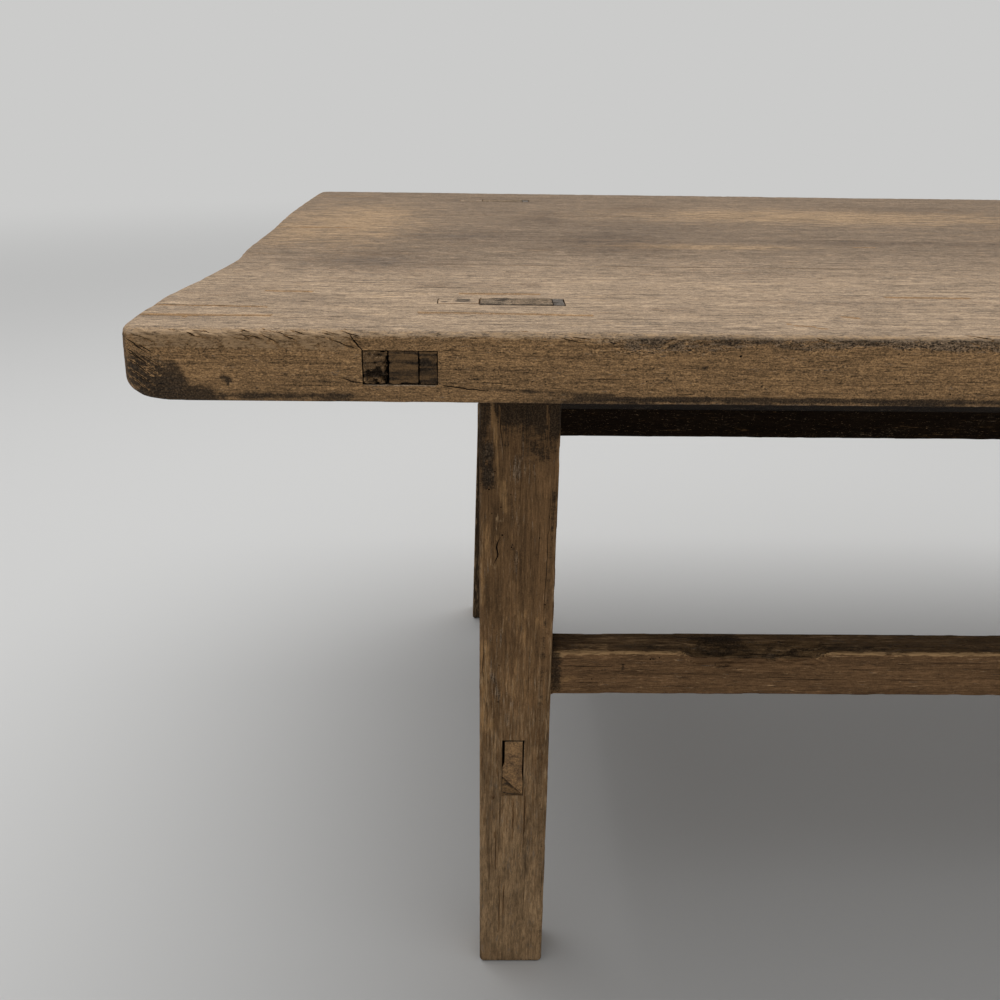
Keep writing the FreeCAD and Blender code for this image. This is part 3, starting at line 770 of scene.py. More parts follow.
def wear_top(points, gaps, seed, front):
    """How deep each point goes into the wood, in mm, and where it is torn, broken and creased."""
    a, b, high, low = gaps
    x = points[:, 0]
    arris = np.maximum(np.minimum(a, b), high)
    roll = b - high
    flakes = rise(slanted(x, roll, 8, 2.4, seed + 3) + 0.5 * slanted(x, roll, 4, 1.3, seed + 4), -0.1, 0.5)
    depth = waves(points, seed + 5, 0.12, (170, 60, 60), 0.08, (24, 9, 9))
    chipped = 0.55 * hump(arris, 0, 4.0) * flakes * (0.7 + 0.6 * lumps(points, (45, 60, 60), seed + 7))
    broken, creases = np.zeros(len(points)), np.zeros(len(points))
    if front:
        spread, tall = a - b, points[:, 2] - under_z
        spokes = np.stack([(spread - tall) * 0.7, (spread + tall) * 0.7, 0 * x], axis=1)
        fan = lumps(spokes, (8, 1.3, 1), seed + 17)
        fan *= between(spread, *FAN, 7) * (x < 0) * (points[:, 1] < front_y + 40) * rise(high, 1, 4)
        chipped += 0.3 * np.clip(fan, 0, 1.2)
        ridges = slanted(x, roll, 10, 1.7, seed + 13) + 0.5 * slanted(x, roll, 6, 1.0, seed + 14)
        chips = between(x, *CHIPS, 10) * between(roll, -6.5, 5, 3) * rise(a, 6, 13)
        creases = np.clip(1 - np.abs(ridges) / 0.55, 0, 1)
        chipped += chips * (0.35 + 0.75 * creases ** 1.5 - 0.25 * ridges)
        crumbs = layered(points, seed + 8, (4, 1.6, 1.6), 0.6, (2.0, 1.2, 1.2))
        ragged = STRIP_LOW + 2.0 * lumps(points, (22, 90, 90), seed + 12)
        ragged = ragged + 1.2 * lumps(points, (6, 90, 90), seed + 15)
        broken = between(x, *STRIP, 14) * (1 - rise(high, ragged - 1.2, ragged + 0.6))
        broken = broken * rise(high, 0.3, 1.6) * (b < 1.5)
        broken *= rise(lumps(points, (17, 50, 50), seed + 11), -1.5, -0.7)
        sliver = strokes(x, points[:, 2], [SLIVER])
        pits = rise(lumps(points, (26, 40, 40), seed + 16), -0.2, 0.6)
        depth += broken * (0.6 + 0.8 * pits + 0.7 * crumbs) * (1 - rise(sliver, 0.3, 0.6))
        broken = broken * (1 - rise(sliver, 0.3, 0.6))
        chipped += 0.9 * sliver
    depth *= (0.3 + 0.7 * rise(a, 2, 16)) * (1 - 0.85 * hump(low, 0, 5.0))
    low_arris = hump(np.maximum(b, low), 0, 3.0)
    depth += 0.12 * low_arris * rise(lumps(points, (11, 3, 3), seed + 10), 0, 0.3)
    depth = np.maximum(depth, 0.02) + np.clip(chipped, 0, 2) * (1 - broken)
    return depth, chipped, broken, creases


print("fibres lift at", round(math.degrees(FIBRE_SLANT)), "degrees")

# %% [markdown]
# The numbers painted on a board say what a finish can't know by itself: which side faces up and takes the
# pale tone, partly as painted light, where the ends are, which wood is torn, and where dirt and painted
# shade sit.

# %% Paint a board
DIRTY = [
    (-489, 401, -482, 398, 7.6, 1.2), (-475.5, 401, -473, 396, 4.8, 1.05),
    (-488, 393, -462, 391.5, 5.4, 0.8), (-464, 391, -400, 391, 2.8, 0.42),
    (-454.5, 399.4, -451.4, 398.2, 1.3, 0.95), (-452.4, 398.4, -452.4, 396, 0.8, 0.9),
    (-491, 408, -486, 404, 2.5, 0.6), (-360, 404, -359, 400, 2.6, 0.45),
]
CORNER_GREY = [(-490, 398, -476, 394, 6, 1.0), (-488, 408, -478, 403, 4, 0.9), (-492, 404, -489, 394, 3, 0.9)]
EDGE_LINES = [
    (-448, 396.8, -405, 398.0, 0.9, 0.55), (-360, 395.6, -285, 393.0, 1.3, 0.6),
    (-240, 394.4, -150, 394.8, 0.9, 0.5), (-262, 400.6, -262.2, 400.2, 0.8, 1.1),
    (-246.5, 405.6, -246, 405.3, 1.0, 1.1), (-300, 391.4, -60, 391.2, 0.9, 0.6),
    (-244, 412.5, -226, 411.5, 1.3, 0.35), (-218, 413.6, -203, 412.6, 1.8, 0.45),
    (-110, 402, -70, 403, 0.9, 0.5),
]


def paint_top(points, gaps, facing, wear, front):
    """The numbers that a board's finish reads."""
    a, b, high, low = gaps
    chipped, broken, creases = wear
    deep = np.minimum(np.minimum(a, b), np.minimum(high, low))
    x, z = points[:, 0], points[:, 2]
    arris = np.maximum(np.minimum(a, b), high)
    torn = 0.5 * np.clip(chipped, 0, 1) + 0.55 * hump(arris, 1.2, 2.6) * (1 - broken)
    # the walls inside the mortises and slots are darkened: painted shade
    dirt_and_shade = 0.95 * rise(deep, 0.4, 2.2)
    # darker along the lower arris of the long edges
    dark_rim = 0.26 + 0.24 * lumps(points, (30, 40, 3), 71) + 0.27 * rise(x, -340, -300)
    dirt_and_shade += dark_rim * (1 - rise(low, 2.0, 6.0)) * (b < 4)
    # a thin grey line along the very bottom of the lower arris: painted reflection of the floor
    grey = 0.36 * (1 - rise(low, 1.5, 4.5)) * rise(x, -340, -260) * (b < 4)
    if front:
        crumbs = lumps(points, (9, 9, 3), 74)
        dirt_and_shade += (strokes(x, z, DIRTY) * (1.25 + 0.35 * crumbs) + strokes(x, z, EDGE_LINES)) * (b < 12)
        lifted = between(x, *CHIPS, 8) * (a > 4) * between(b - high, -7, 4, 2.5) * (high < 16)
        torn += lifted * (1.1 - 1.2 * creases)
        # the creases between the lifted fibres are darkened: painted shade
        dirt_and_shade += 0.5 * lifted * creases ** 2 * rise(lumps(points, (7, 7, 7), 75), -0.6, 0.4)
        dirt_and_shade += broken * (0.30 + 0.32 * lumps(points, (13, 9, 3), 72) - 0.35 * rise(x, -175, -150))
        grey += broken * (0.62 + 0.3 * lumps(points, (19, 9, 4), 73))
        patch = between(x, -330, -275, 30) * between(high, 2, 8, 2) * (b < 1.5)
        grey += 0.4 * patch * rise(crumbs, -0.2, 0.6)
        grey += 0.5 * strokes(x, z, CORNER_GREY) * (b < 12)
    return {
        # upward faces take the pale upper tone: partly fading, partly painted light
        "sun_and_painted_light": rise(facing[:, 2], 0.12, 0.75),
        "under": rise(-facing[:, 2], 0.4, 0.9),
        "end": rise(np.abs(facing[:, 0]), 0.55, 0.9) * (a < 14),
        "shade": rise(points[:, 1], -205, 0) * rise(facing[:, 2], 0.3, 0.8) * 1.12,
        "stain": ovals(points, STAINS) * (facing[:, 2] > 0),
        "warm": ovals(points, WARM) * (facing[:, 2] > 0) + 0.15,
        "torn": torn,
        "dirt_and_shade": dirt_and_shade,
        "grey": grey,
        "ash": ovals(points, ASH) * (facing[:, 2] > 0),
        "fuzz": 0.25 + 0.75 * (1 - rise(facing[:, 2], 0.2, 0.9)),
    }


print("dirty strokes", len(DIRTY), "dark lines", len(EDGE_LINES))

# %% [markdown]
# ## The cracks of the top
# Three kinds show. Hairline checks follow the grain on the upper side and the edges. Slits along the
# upper arris lift small slivers. And the front mortise has pulled cracks out of its corners, while the
# left front corner has split in curved lines. The first two are drawn by a seeded hand, the last one by one.

# %% Places on the skin of the top
def on_edge(side, x, z):
    """A place on a long edge of the top and the way into the wood, round the corners too."""
    face = FACES[side]
    edge = front_y if face < 0 else back_y
    reach = end_reach(np.array([edge + 0.0]))[0]
    over = CORNER - (reach - abs(x))
    if over <= 0:
        return (x, edge, z), (0, -face, 0)
    inward = math.sqrt(max(CORNER ** 2 - min(over, CORNER * 0.97) ** 2, 1))
    y = edge - face * (CORNER - inward)
    return (x, y, z), (-math.copysign(over, x), -face * inward, 0)


def edge_blade(side, stops, seed, width, depth, wobble=0.35):
    """A crack in a long edge, from its stops as x and z."""
    places, ways = zip(*(on_edge(side, x, z) for x, z in stops))
    return blade(wander(places, seed, wobble), np.mean(ways, axis=0), width, depth)


print("the way into the front edge is", on_edge("front", 0, under_z)[1])

# %% Draw the cracks
MORTISE_CRACKS = [
    ([(-392.5, 411.0), (-396.2, 414.6), (-398.5, 418.0), (-399.6, 419.6)], 0.8, 5.0),
    ([(-393.0, 411.5), (-401.5, 414.2), (-409.5, 417.0)], 0.45, 3.0),
    ([(-393.0, 397.3), (-398.5, 397.9), (-404.8, 400.2)], 0.55, 4.0),
    ([(-362.2, 397.2), (-355.0, 396.2), (-348.4, 394.9), (-338.0, 394.3)], 0.6, 4.0),
    ([(-361.8, 411.0), (-357.0, 412.2), (-350.5, 411.8)], 0.35, 3.0),
]
CORNER_SPLITS = [
    (-495.8, 415.5, 11, -6.5), (-496.4, 411.5, 13, -8.5), (-496.0, 407.0, 12, -8.0),
    (-495.9, 402.6, 12, -7.5), (-493.5, 418.0, 13, -5.0), (-495.4, 398.8, 9, -5.5),
    (-491.0, 413.4, 9, -4.5), (-489.5, 409.0, 10, -5.5), (-494.9, 409.6, 7, -3.5),
    (-489.0, 403.8, 8, -4.0),
]
TOP_CRACKS = [
    ([(-507, -238), (-470, -240), (-443, -243)], 0.5, 4.0), ([(-452, -203), (-428, -204)], 0.25, 2.0),
    ([(-372, -249), (-330, -250.5), (-292, -254)], 0.25, 2.5), ([(-505, -262), (-470, -263.5)], 0.4, 4.0),
    ([(-206, -268), (-197, -272), (-190, -277)], 0.35, 2.0), ([(-176, -250), (-168, -256)], 0.3, 2.0),
]
ARRIS = 4.5
EDGE_CHECKS, ARRIS_SLITS, CHIP_SLITS, WORM_HOLES, END_SPLITS = 30, 46, 18, 16, 5
BATTEN_AT, BATTEN_CLEAR = 377, 28


def on_arris(side, x, roll):
    """A place on a long upper arris and the way into the wood. roll is how far up over the arris it is."""
    face = FACES[side]
    edge = front_y if face < 0 else back_y
    turn = np.clip((ARRIS - roll) / (2 * ARRIS), 0, 1) * math.pi / 2
    y = edge - face * (ARRIS - ARRIS * math.sin(turn) + max(roll - ARRIS, 0))
    z = top_z - ARRIS + ARRIS * math.cos(turn) - max(-ARRIS - roll, 0)
    return (x, y, z), (0, -face * math.sin(turn), -math.cos(turn))


def arris_slit(side, x, roll, length, slant, seed, width, depth):
    """A slit that runs over an arris, falling as it goes."""
    spots = [(x + length * share, roll - length * share * math.tan(slant)) for share in (0, 0.35, 0.7, 1)]
    places, ways = zip(*(on_arris(side, *spot) for spot in spots))
    return blade(wander(places, seed, 0.25, 1.1), np.mean(ways, axis=0), width, depth)


def draw_edge_cracks(side, chance, seed):
    """Hairline checks and arris slits along one long edge."""
    blades = []
    for n in range(EDGE_CHECKS):
        x, z = chance.uniform(-478, 470), chance.uniform(392.5, 414.5)
        length = chance.uniform(6, 34)
        if min(abs(abs(x + length * share) - BATTEN_AT) for share in (0, 0.5, 1)) < BATTEN_CLEAR:
            continue
        drift = chance.uniform(-0.04, 0.04) * length
        width = chance.uniform(0.18, 0.36)
        blades.append(edge_blade(side, [(x, z), (x + length, z + drift)], seed + n, width, 2.0, 0.3))
    for n in range(ARRIS_SLITS):
        length, slant = chance.uniform(3, 12), math.radians(chance.uniform(4, 24))
        x, roll = chance.uniform(-478, 466), chance.uniform(-2.5, 5)
        blades.append(arris_slit(side, x, roll, length, slant, seed + 60 + n, chance.uniform(0.25, 0.5), 1.8))
    return blades


def draw_chip_slits(chance, seed):
    """The slanting slits between the lifted fibres near the left end."""
    blades = []
    for n in range(CHIP_SLITS):
        length, slant = chance.uniform(3, 9), FIBRE_SLANT * chance.uniform(0.3, 0.8)
        x, roll = chance.uniform(CHIPS[0] + 4, CHIPS[1] + 4), chance.uniform(-1.5, 6)
        width = chance.uniform(0.35, 0.7)
        blades.append(arris_slit("front", x, roll, length, slant, seed + 120 + n, width, 2.2))
    return blades


def draw_top_cracks(low, high, chance, seed, count):
    """Hairline checks on the upper side of a board and splits in its ends."""
    blades = []
    for n in range(count):
        x, y = chance.uniform(-470, 430), chance.uniform(low[1] + 8, high[1] - 8)
        length = chance.uniform(12, 60)
        drift = chance.uniform(-0.02, 0.02) * length
        path = wander([(x, y, top_z), (x + length, y + drift, top_z)], seed + n, 0.3)
        blades.append(blade(path, (0, 0, -1), chance.uniform(0.3, 0.4), 1.8))
    for side in (-1, 1):
        for n in range(END_SPLITS):
            y, z = chance.uniform(low[1] + 14, high[1] - 30), chance.uniform(394, 414)
            reach = side * end_reach(np.array([y]))[0]
            stops = [(reach, y, z), (reach, y + chance.uniform(9, 26), z + chance.uniform(-2.5, 2.5))]
            path = wander(stops, seed + 90 + n)
            blades.append(blade(path, (-side, 0, 0), chance.uniform(0.35, 0.8), 4.0))
        y = chance.uniform(low[1] + 25, high[1] - 25)
        stops = [(side * 507, y, top_z), (side * chance.uniform(430, 468), y + 1, top_z)]
        path = wander(stops, seed + 99, 0.4)
        blades.append(blade(path, (0, 0, -1), 0.5, 5.0))
    return blades


def draw_worm_holes(side, chance):
    """Small round holes in a long edge, away from the battens' ends."""
    pins = []
    for _ in range(WORM_HOLES):
        place, way = on_edge(side, chance.uniform(-486, 480), chance.uniform(392, 415))
        if abs(abs(place[0]) - BATTEN_AT) > 20:
            pins.append(pin(np.array(place), way, chance.uniform(0.3, 0.6), 2.5))
    return pins


def draw_cracks(side, low, high, seed):
    """All the blades of one board."""
    chance = np.random.default_rng(seed)
    blades = draw_top_cracks(low, high, chance, seed, 3)
    if side:
        blades += draw_edge_cracks(side, chance, seed)
        blades += draw_worm_holes(side, chance)
    if side == "front":
        blades += draw_chip_slits(chance, seed)
        for n, (stops, width, depth) in enumerate(MORTISE_CRACKS):
            blades.append(edge_blade(side, stops, seed + 200 + n, width, depth))
        for n, (x, z, long, drop) in enumerate(CORNER_SPLITS):
            stops = [(x, z), (x + long * 0.4, z + drop * 0.25), (x + long, z + drop)]
            blades.append(edge_blade(side, stops, seed + 220 + n, chance.uniform(0.35, 0.6), 2.4, 0.25))
        for n, (stops, width, depth) in enumerate(TOP_CRACKS):
            path = wander([(x, y, top_z) for x, y in stops], seed + 240 + n, 0.3)
            blades.append(blade(path, (0, 0, -1), width, depth))
    return blades


print("cracks drawn by eye:", len(MORTISE_CRACKS) + len(CORNER_SPLITS) + len(TOP_CRACKS))

# %% Build the three boards
def build_board(name, node, finish, seed, side, steps):
    """One board of the top, from its box in the frame to its painted mesh."""
    low, high = box_of(node)
    holes = list(batten_slots)
    if side:
        holes += board_holes(side)
    marks = [np.concatenate([[hole[0][axis], hole[1][axis]] for hole in holes]) for axis in range(3)]
    along, across, tall = steps
    edge = {"front": low[1], "back": high[1]}.get(side)
    close = near_both(low[1], high[1], 1.2, 10)
    if side:
        close.append(near(edge, 0.7, 30))
    fine_ends = near_both(-NOMINAL_END, NOMINAL_END, 0.9, 24)
    if side == "front":
        fine_ends += [(*CHIPS, 0.85, 30), (*STRIP, 1.1, 30)]
    xs = grid_lines(-NOMINAL_END, NOMINAL_END, along, marks[0], fine_ends)
    ys = grid_lines(low[1], high[1], across, marks[1], close)
    zs = grid_lines(low[2], high[2], tall, marks[2], [near(top_z, 0.65, 9)])
    cells = cell_middles(xs, ys, zs)
    wood = np.ones((len(xs) - 1, len(ys) - 1, len(zs) - 1), bool)
    for hole in holes:
        wood &= ~inside(cells, *hole)
    points, quads = surface(xs, ys, zs, wood)
    points, gaps = shape_top(points, seed)
    facing = outward(points, quads)
    depth, *wear = wear_top(points, gaps, seed, side == "front")
    for joint in (low[1], high[1]):
        if min(abs(joint - front_y), abs(joint - back_y)) > 1:
            touching = np.abs(points[:, 1] - joint) < 0.2
            opening = JOINT_OPEN + END_OPEN * (1 - rise(gaps[0][touching], 0, 30))
            points[touching, 1] += opening * np.sign((low[1] + high[1]) / 2 - joint)
            facing[touching, 1] = 0
    points = points - facing * depth[:, None]
    paint = paint_top(points, gaps, facing, wear, side == "front")
    blades = draw_cracks(side, low, high, seed)
    return make_piece(name, node, finish, points, quads, paint, blades)


build_board("front_board", "top_board_front", top_front_finish, seed=11, side="front", steps=(2.3, 8.0, 1.3))
build_board("middle_board", "top_board_middle", top_middle_finish, seed=23, side=None, steps=(2.4, 6.0, 2.4))
build_board("back_board", "top_board_back", top_back_finish, seed=37, side="back", steps=(2.2, 8.0, 1.5))

# %% [markdown]
# ## Legs
# A leg is a tapered post with a smaller tenon on its head. It is the same block of cells again: the cells
# around the tenon go away, two mortises go through, and the whole block is leant and narrowed towards the
# foot. Its arrises have been knocked and rubbed, so their radius wanders.

# %% Sizes of a leg
LEG_ALONG, LEG_ACROSS = 323.5, 224.2
LEG_HEAD = (40.8, 31.3)
LEG_FOOT = (39.3, 27.8)
FOOT_SHIFT = {"front": -1.6, "back": 8.5}
FOOT_TUCK = 2.9
TENON_ACROSS = 16.4
TENON_ALONG = (-14.9, 20.4)
RAIL_TENON = 10.5
SIDE_TENON = 12.5
LEG_ROUND = 2.8


def lean_leg(points, side, end):
    """Moves a straight leg's points to where its head and foot really stand."""
    share = np.clip(1 - points[:, 2] / under_z, 0, 1)
    width = 1 + (LEG_FOOT[0] / LEG_HEAD[0] - 1) * share
    depth = 1 + (LEG_FOOT[1] / LEG_HEAD[1] - 1) * share
    out, face = ENDS[end], FACES[side]
    x = out * (LEG_ALONG + FOOT_SHIFT[side] * share) + points[:, 0] * width
    y = face * (LEG_ACROSS - FOOT_TUCK * share) + points[:, 1] * depth
    return np.stack([x, y, points[:, 2]], axis=1)


def straighten(place, height, side, end, axis):
    """The straight leg's coordinate that lands on a place once the leg is leant."""
    probe = np.array([[0, 0, height], [1, 1, height]], float)
    zero, one = lean_leg(probe, side, end)[:, axis]
    return (place - zero) / (one - zero)


print("a leg is", LEG_HEAD, "mm at its head and", LEG_FOOT, "mm at its foot")

# %% [markdown]
# The near-left leg is the one that the photograph shows best. Its marks are placed on its front face: a
# nearly black head, a golden streak where the wood was split, worm holes beside it, grey and dark
# patches, and the warm lower half. The other legs get marks of the same kinds from seeded noise.

# %% Marks on the legs
LEG_WARM = [
    (-337.5, 374, -335, 352, 1.4, 1.2), (-335, 352, -332.5, 321, 1.2, 0.9),
    (-339.8, 236, -338.9, 179, 2.6, 0.85), (-335.5, 186, -334.1, 152, 1.9, 0.95),
    (-303.2, 372, -303.0, 318, 1.0, 1.1), (-322, 252, -322, 206, 11, 0.45),
    (-331, 330, -330.5, 316, 2.2, 1.0), (-334, 300, -335, 284, 2.6, 0.7),
    (-341, 310, -341, 262, 3.0, 0.6), (-330, 138, -322, 137, 2.2, 0.8), (-312, 250, -314, 222, 2.5, 0.7),
    (-303, 120, -301, 10, 2.0, 0.5),
]
# the wide strokes across the head and the long ones down the right side are painted shade
LEG_DARK = [
    (-345, 388, -330, 374, 10, 1.25), (-328, 384, -302, 370, 15, 1.35), (-318, 366, -303, 360, 8, 0.7),
    (-343, 366, -342, 352, 4.5, 0.6), (-341, 350, -339, 331, 5.0, 0.75), (-316, 350, -312, 345, 5, 0.5),
    (-305.7, 326, -308.3, 200, 2.6, 0.55), (-308.3, 200, -303.2, 22, 2.4, 0.45),
    (-306.2, 292, -306.4, 284, 2.2, 0.6), (-326.2, 295.5, -325.8, 293.6, 1.2, 0.9),
    (-307.9, 261, -307.8, 259.8, 1.4, 0.9), (-331.5, 300, -335.8, 284, 0.8, 0.3),
    (-336, 232, -341.5, 226, 2.4, 0.2), (-333, 197, -330.5, 199, 1.3, 0.45),
    (-343.2, 340, -342, 120, 1.2, 0.3), (-304.5, 240, -305, 196, 3.5, 0.45),
    (-316.6, 172, -316.8, 160, 0.8, 0.9), (-328, 173, -318, 173, 0.7, 0.6),
]
LEG_GREY = [
    (-340.5, 346, -339.5, 332, 3.6, 0.6), (-333, 205, -322, 196, 4.0, 0.35), (-336, 217, -330, 199, 1.2, 0.5),
    (-326, 345, -324, 280, 2.2, 0.35), (-340, 350, -338, 338, 2.2, 0.5), (-327, 190, -326, 172, 2.5, 0.3),
]
TENON_ASH = [
    (-341, -228, -336, -226, 7, 1.3), (-314, -230, -309, -228, 3, 0.8),
    (-343, -231, -310, -231.5, 1.6, 0.9),
]
TENON_DARK = [
    (-327, -231.6, -309, -231.8, 1.5, 1.1), (-343, -231.0, -335, -230.4, 1.6, 0.9),
    (-333.5, -222, -331.5, -219, 1.4, 0.8), (-338, -217, -330, -216.4, 1.2, 0.6),
]
LEG_PALE = [
    (-334.2, 311.4, -332.2, 309.3, 1.0, 1.0), (-336.5, 285, -335, 282.5, 1.0, 0.9),
    (-336, 157, -335, 153, 1.1, 0.6), (-329, 174.6, -318, 174.6, 0.7, 0.8),
    (-339.5, 222, -338.6, 198, 1.0, 0.5),
]
LEG_HOLES = [
    (-335.6, 337.0, 0.45), (-338.5, 327.2, 0.6), (-332.3, 317.3, 0.45), (-336.9, 313.9, 0.4),
    (-340.2, 341.9, 0.4), (-327.3, 324.5, 0.35), (-331.4, 301.5, 0.6), (-343.0, 330.0, 0.4),
    (-334.2, 131.0, 0.4), (-332.3, 198.2, 0.5), (-312.0, 300.0, 0.4), (-332.1, 222.3, 0.35),
    (-326.4, 294.5, 0.5), (-307.9, 260.4, 0.5),
]
LEG_CRACKS = [
    ([(-332.6, 301.0), (-334.6, 294.6), (-333.5, 289.4), (-336.0, 284.1)], 0.9, 1.6),
    ([(-307.0, 330), (-307.6, 292), (-308.6, 246)], 0.35, 2.0), ([(-334.0, 372), (-331.6, 346)], 0.4, 2.0),
    ([(-340.5, 238), (-341.0, 214)], 0.4, 1.5), ([(-310, 372), (-309.4, 350)], 0.3, 1.5),
]


def leg_face(side, end, x, z):
    """A place on the outer long face of a leg and the way into its wood."""
    probe = np.array([[0, FACES[side] * LEG_HEAD[1] / 2, z]])
    return (x, lean_leg(probe, side, end)[0][1], z), (0, -FACES[side], 0)


def leg_blades(side, end, seed):
    """Worm holes and cracks on a leg's long outer face."""
    chance = np.random.default_rng(seed)
    if (side, end) == ("front", "left"):
        holes, cracks = LEG_HOLES, list(LEG_CRACKS)
    else:
        middle = ENDS[end] * (LEG_ALONG + 1)
        ranges = ((middle - 15, middle + 15), (30, 370), (0.3, 0.6))
        holes = [tuple(chance.uniform(*ends) for ends in ranges) for _ in range(9)]
        cracks = []
    for _ in range(5):
        x, z = ENDS[end] * (LEG_ALONG + 1) + chance.uniform(-15, 15), chance.uniform(15, 110)
        cracks.append(([(x, z), (x + chance.uniform(-0.6, 0.6), z + chance.uniform(10, 45))], 0.3, 1.5))
    blades = []
    for x, z, radius in holes:
        place, way = leg_face(side, end, x, z)
        blades.append(pin(np.array(place), way, radius, 2.5))
    for n, (stops, width, depth) in enumerate(cracks):
        places, ways = zip(*(leg_face(side, end, x, z) for x, z in stops))
        blades.append(blade(wander(places, seed + n, 0.3), ways[0], width, depth))
    return blades


print("marks on the near-left leg:", sum(map(len, (LEG_WARM, LEG_DARK, LEG_GREY, LEG_PALE))))

# %% Cut a leg out of its block
def cut_leg(side, end):
    """The points and faces of a straight, sharp leg with its tenon and its two mortises."""
    half = np.array(LEG_HEAD) / 2
    tenon_x = sorted(ENDS[end] * np.array(TENON_ALONG))
    rail_low, rail_high = box_of(f"stretcher_{side}")
    rail_z = (rail_low[2] + rail_high[2]) / 2
    rail_y = (rail_low[1] + rail_high[1]) / 2
    rail = sorted(straighten(rail_y + s * RAIL_TENON / 2, rail_z, side, end, 1) for s in (-1, 1))
    cross_low, cross_high = box_of(f"side_stretcher_{end}")
    wedge_low, wedge_high = box_of(f"side_tenon_wedge_{side}_{end}")
    cross_z = (cross_low[2] + cross_high[2]) / 2
    cross_x = (wedge_low[0] + wedge_high[0]) / 2
    cross = sorted(straighten(cross_x + s * SIDE_TENON / 2, cross_z, side, end, 0) for s in (-1, 1))
    xs = grid_lines(-half[0], half[0], 1.3, [*tenon_x, *cross], near_both(-half[0], half[0], 0.6, 6))
    across = [-TENON_ACROSS / 2, TENON_ACROSS / 2, *rail]
    ys = grid_lines(-half[1], half[1], 1.7, across, near_both(-half[1], half[1], 0.6, 6))
    heights = [under_z, rail_low[2], rail_high[2], cross_low[2], cross_high[2]]
    zs = grid_lines(0, top_z, 1.8, heights, [near(0, 0.8, 12), near(top_z, 0.8, 8)])
    cells = cell_middles(xs, ys, zs)
    wood = cells[2] < under_z
    wood = wood | inside(cells, (tenon_x[0], -TENON_ACROSS / 2, 0), (tenon_x[1], TENON_ACROSS / 2, FAR))
    wood = wood & ~inside(cells, (-FAR, rail[0], rail_low[2]), (FAR, rail[1], rail_high[2]))
    wood = wood & ~inside(cells, (cross[0], -FAR, cross_low[2]), (cross[1], FAR, cross_high[2]))
    return surface(xs, ys, zs, wood)


def shape_leg(points, side, end, seed):
    """Rounds a straight leg and leans it. Gives the new points, how far each one was from the leg's sides
    and from its foot, and which ones are on its body."""
    half = np.array(LEG_HEAD) / 2
    a, b = half[0] - np.abs(points[:, 0]), half[1] - np.abs(points[:, 1])
    foot = points[:, 2]
    body = foot < under_z - 0.01
    corner = np.stack([np.sign(points[:, 0]) * 50, np.sign(points[:, 1]) * 50, foot], axis=1)
    radius = LEG_ROUND * (0.8 + 0.35 * lumps(corner, (20, 20, 30), seed))
    eased_a, eased_b = ease(np.where(body, a, FAR), np.where(body, b, FAR), radius)
    foot_a, foot_b, _, foot_z = round_block(a, b, foot * 0 + FAR, foot, LEG_ROUND, 0.1, LEG_ROUND)
    above = foot > LEG_ROUND * 1.2
    x = np.sign(points[:, 0]) * (half[0] - np.where(body, np.where(above, eased_a, foot_a), a))
    y = np.sign(points[:, 1]) * (half[1] - np.where(body, np.where(above, eased_b, foot_b), b))
    z = np.where(above, foot, foot_z)
    return lean_leg(np.stack([x, y, z], axis=1), side, end), (a, b, foot, body)


print("a sharp leg has", len(cut_leg("front", "left")[0]), "points")

# %% Paint a leg
def paint_leg(side, end, seed, worn, facing, gaps, outer, knocks):
    """The numbers that a leg's finish reads. outer says which points are on its long outer face."""
    a, b, foot, body = gaps
    x, y, z = worn.T
    arris = np.where(body, np.maximum(a, b), FAR)
    on_top = (facing[:, 2] > 0.6) & ~body
    # head darkens the top of the leg under the tabletop: painted shade
    head = rise(z, 300, 380)
    # the walls in the mortises are darkened as painted shade, and the foot is darker at its bottom
    dirt_and_shade = np.where(body, 0.95 * rise(np.minimum(a, b), 0.4, 2.0), 0) + 0.52 * head + 0.5 * hump(foot, 0, 5)
    marked = {label: 0.0 for label in ("warm", "dark", "grey", "pale")}
    ash = 0.6 * on_top * rise(lumps(worn, (9, 6, 9), seed + 9), -0.2, 0.5)
    if (side, end) == ("front", "left"):
        for label, marks in zip(marked, (LEG_WARM, LEG_DARK, LEG_GREY, LEG_PALE)):
            marked[label] = strokes(x, z, marks) * outer
        dirt_and_shade = dirt_and_shade - 0.5 * np.minimum(marked["warm"], 1) * head
        ash = strokes(x, y, TENON_ASH) * on_top
        dirt_and_shade = dirt_and_shade + strokes(x, y, TENON_DARK) * on_top
    patchy = layered(worn, seed + 7, (9, 9, 34), 0.6, (5, 5, 14))
    # the back legs' inner faces take the dark underside tone: painted shade under the table
    painted_shade_faces = rise(facing[:, 1] * -FACES[side], 0.3, 0.8) * (side == "back")
    dirt_and_shade = dirt_and_shade + marked["dark"] * (0.85 + 0.3 * patchy) + 0.15 * rise(patchy, 0.5, 1.2)
    return {
        # paler towards the foot, darker towards the head: painted shade of the top
        "sun_and_painted_light": 1.05 - z / 280,
        "grey": marked["grey"] + 0.25 * rise(-patchy, 0.4, 1.1),
        "ash": ash,
        "under": np.maximum(rise(-facing[:, 2], 0.5, 0.9), painted_shade_faces),
        "end": 0.8 * on_top,
        "torn": 0.35 * knocks + 0.3 * hump(arris, 0, 1.6) + marked["pale"],
        "dirt_and_shade": dirt_and_shade,
        "fuzz": np.full(len(worn), 0.25),
        "stain": 0.35 * rise(lumps(worn, (18, 18, 60), seed + 5), 0.1, 0.5),
        "warm": 0.35 * rise(lumps(worn, (14, 14, 80), seed + 6), 0.2, 0.6) + marked["warm"],
    }


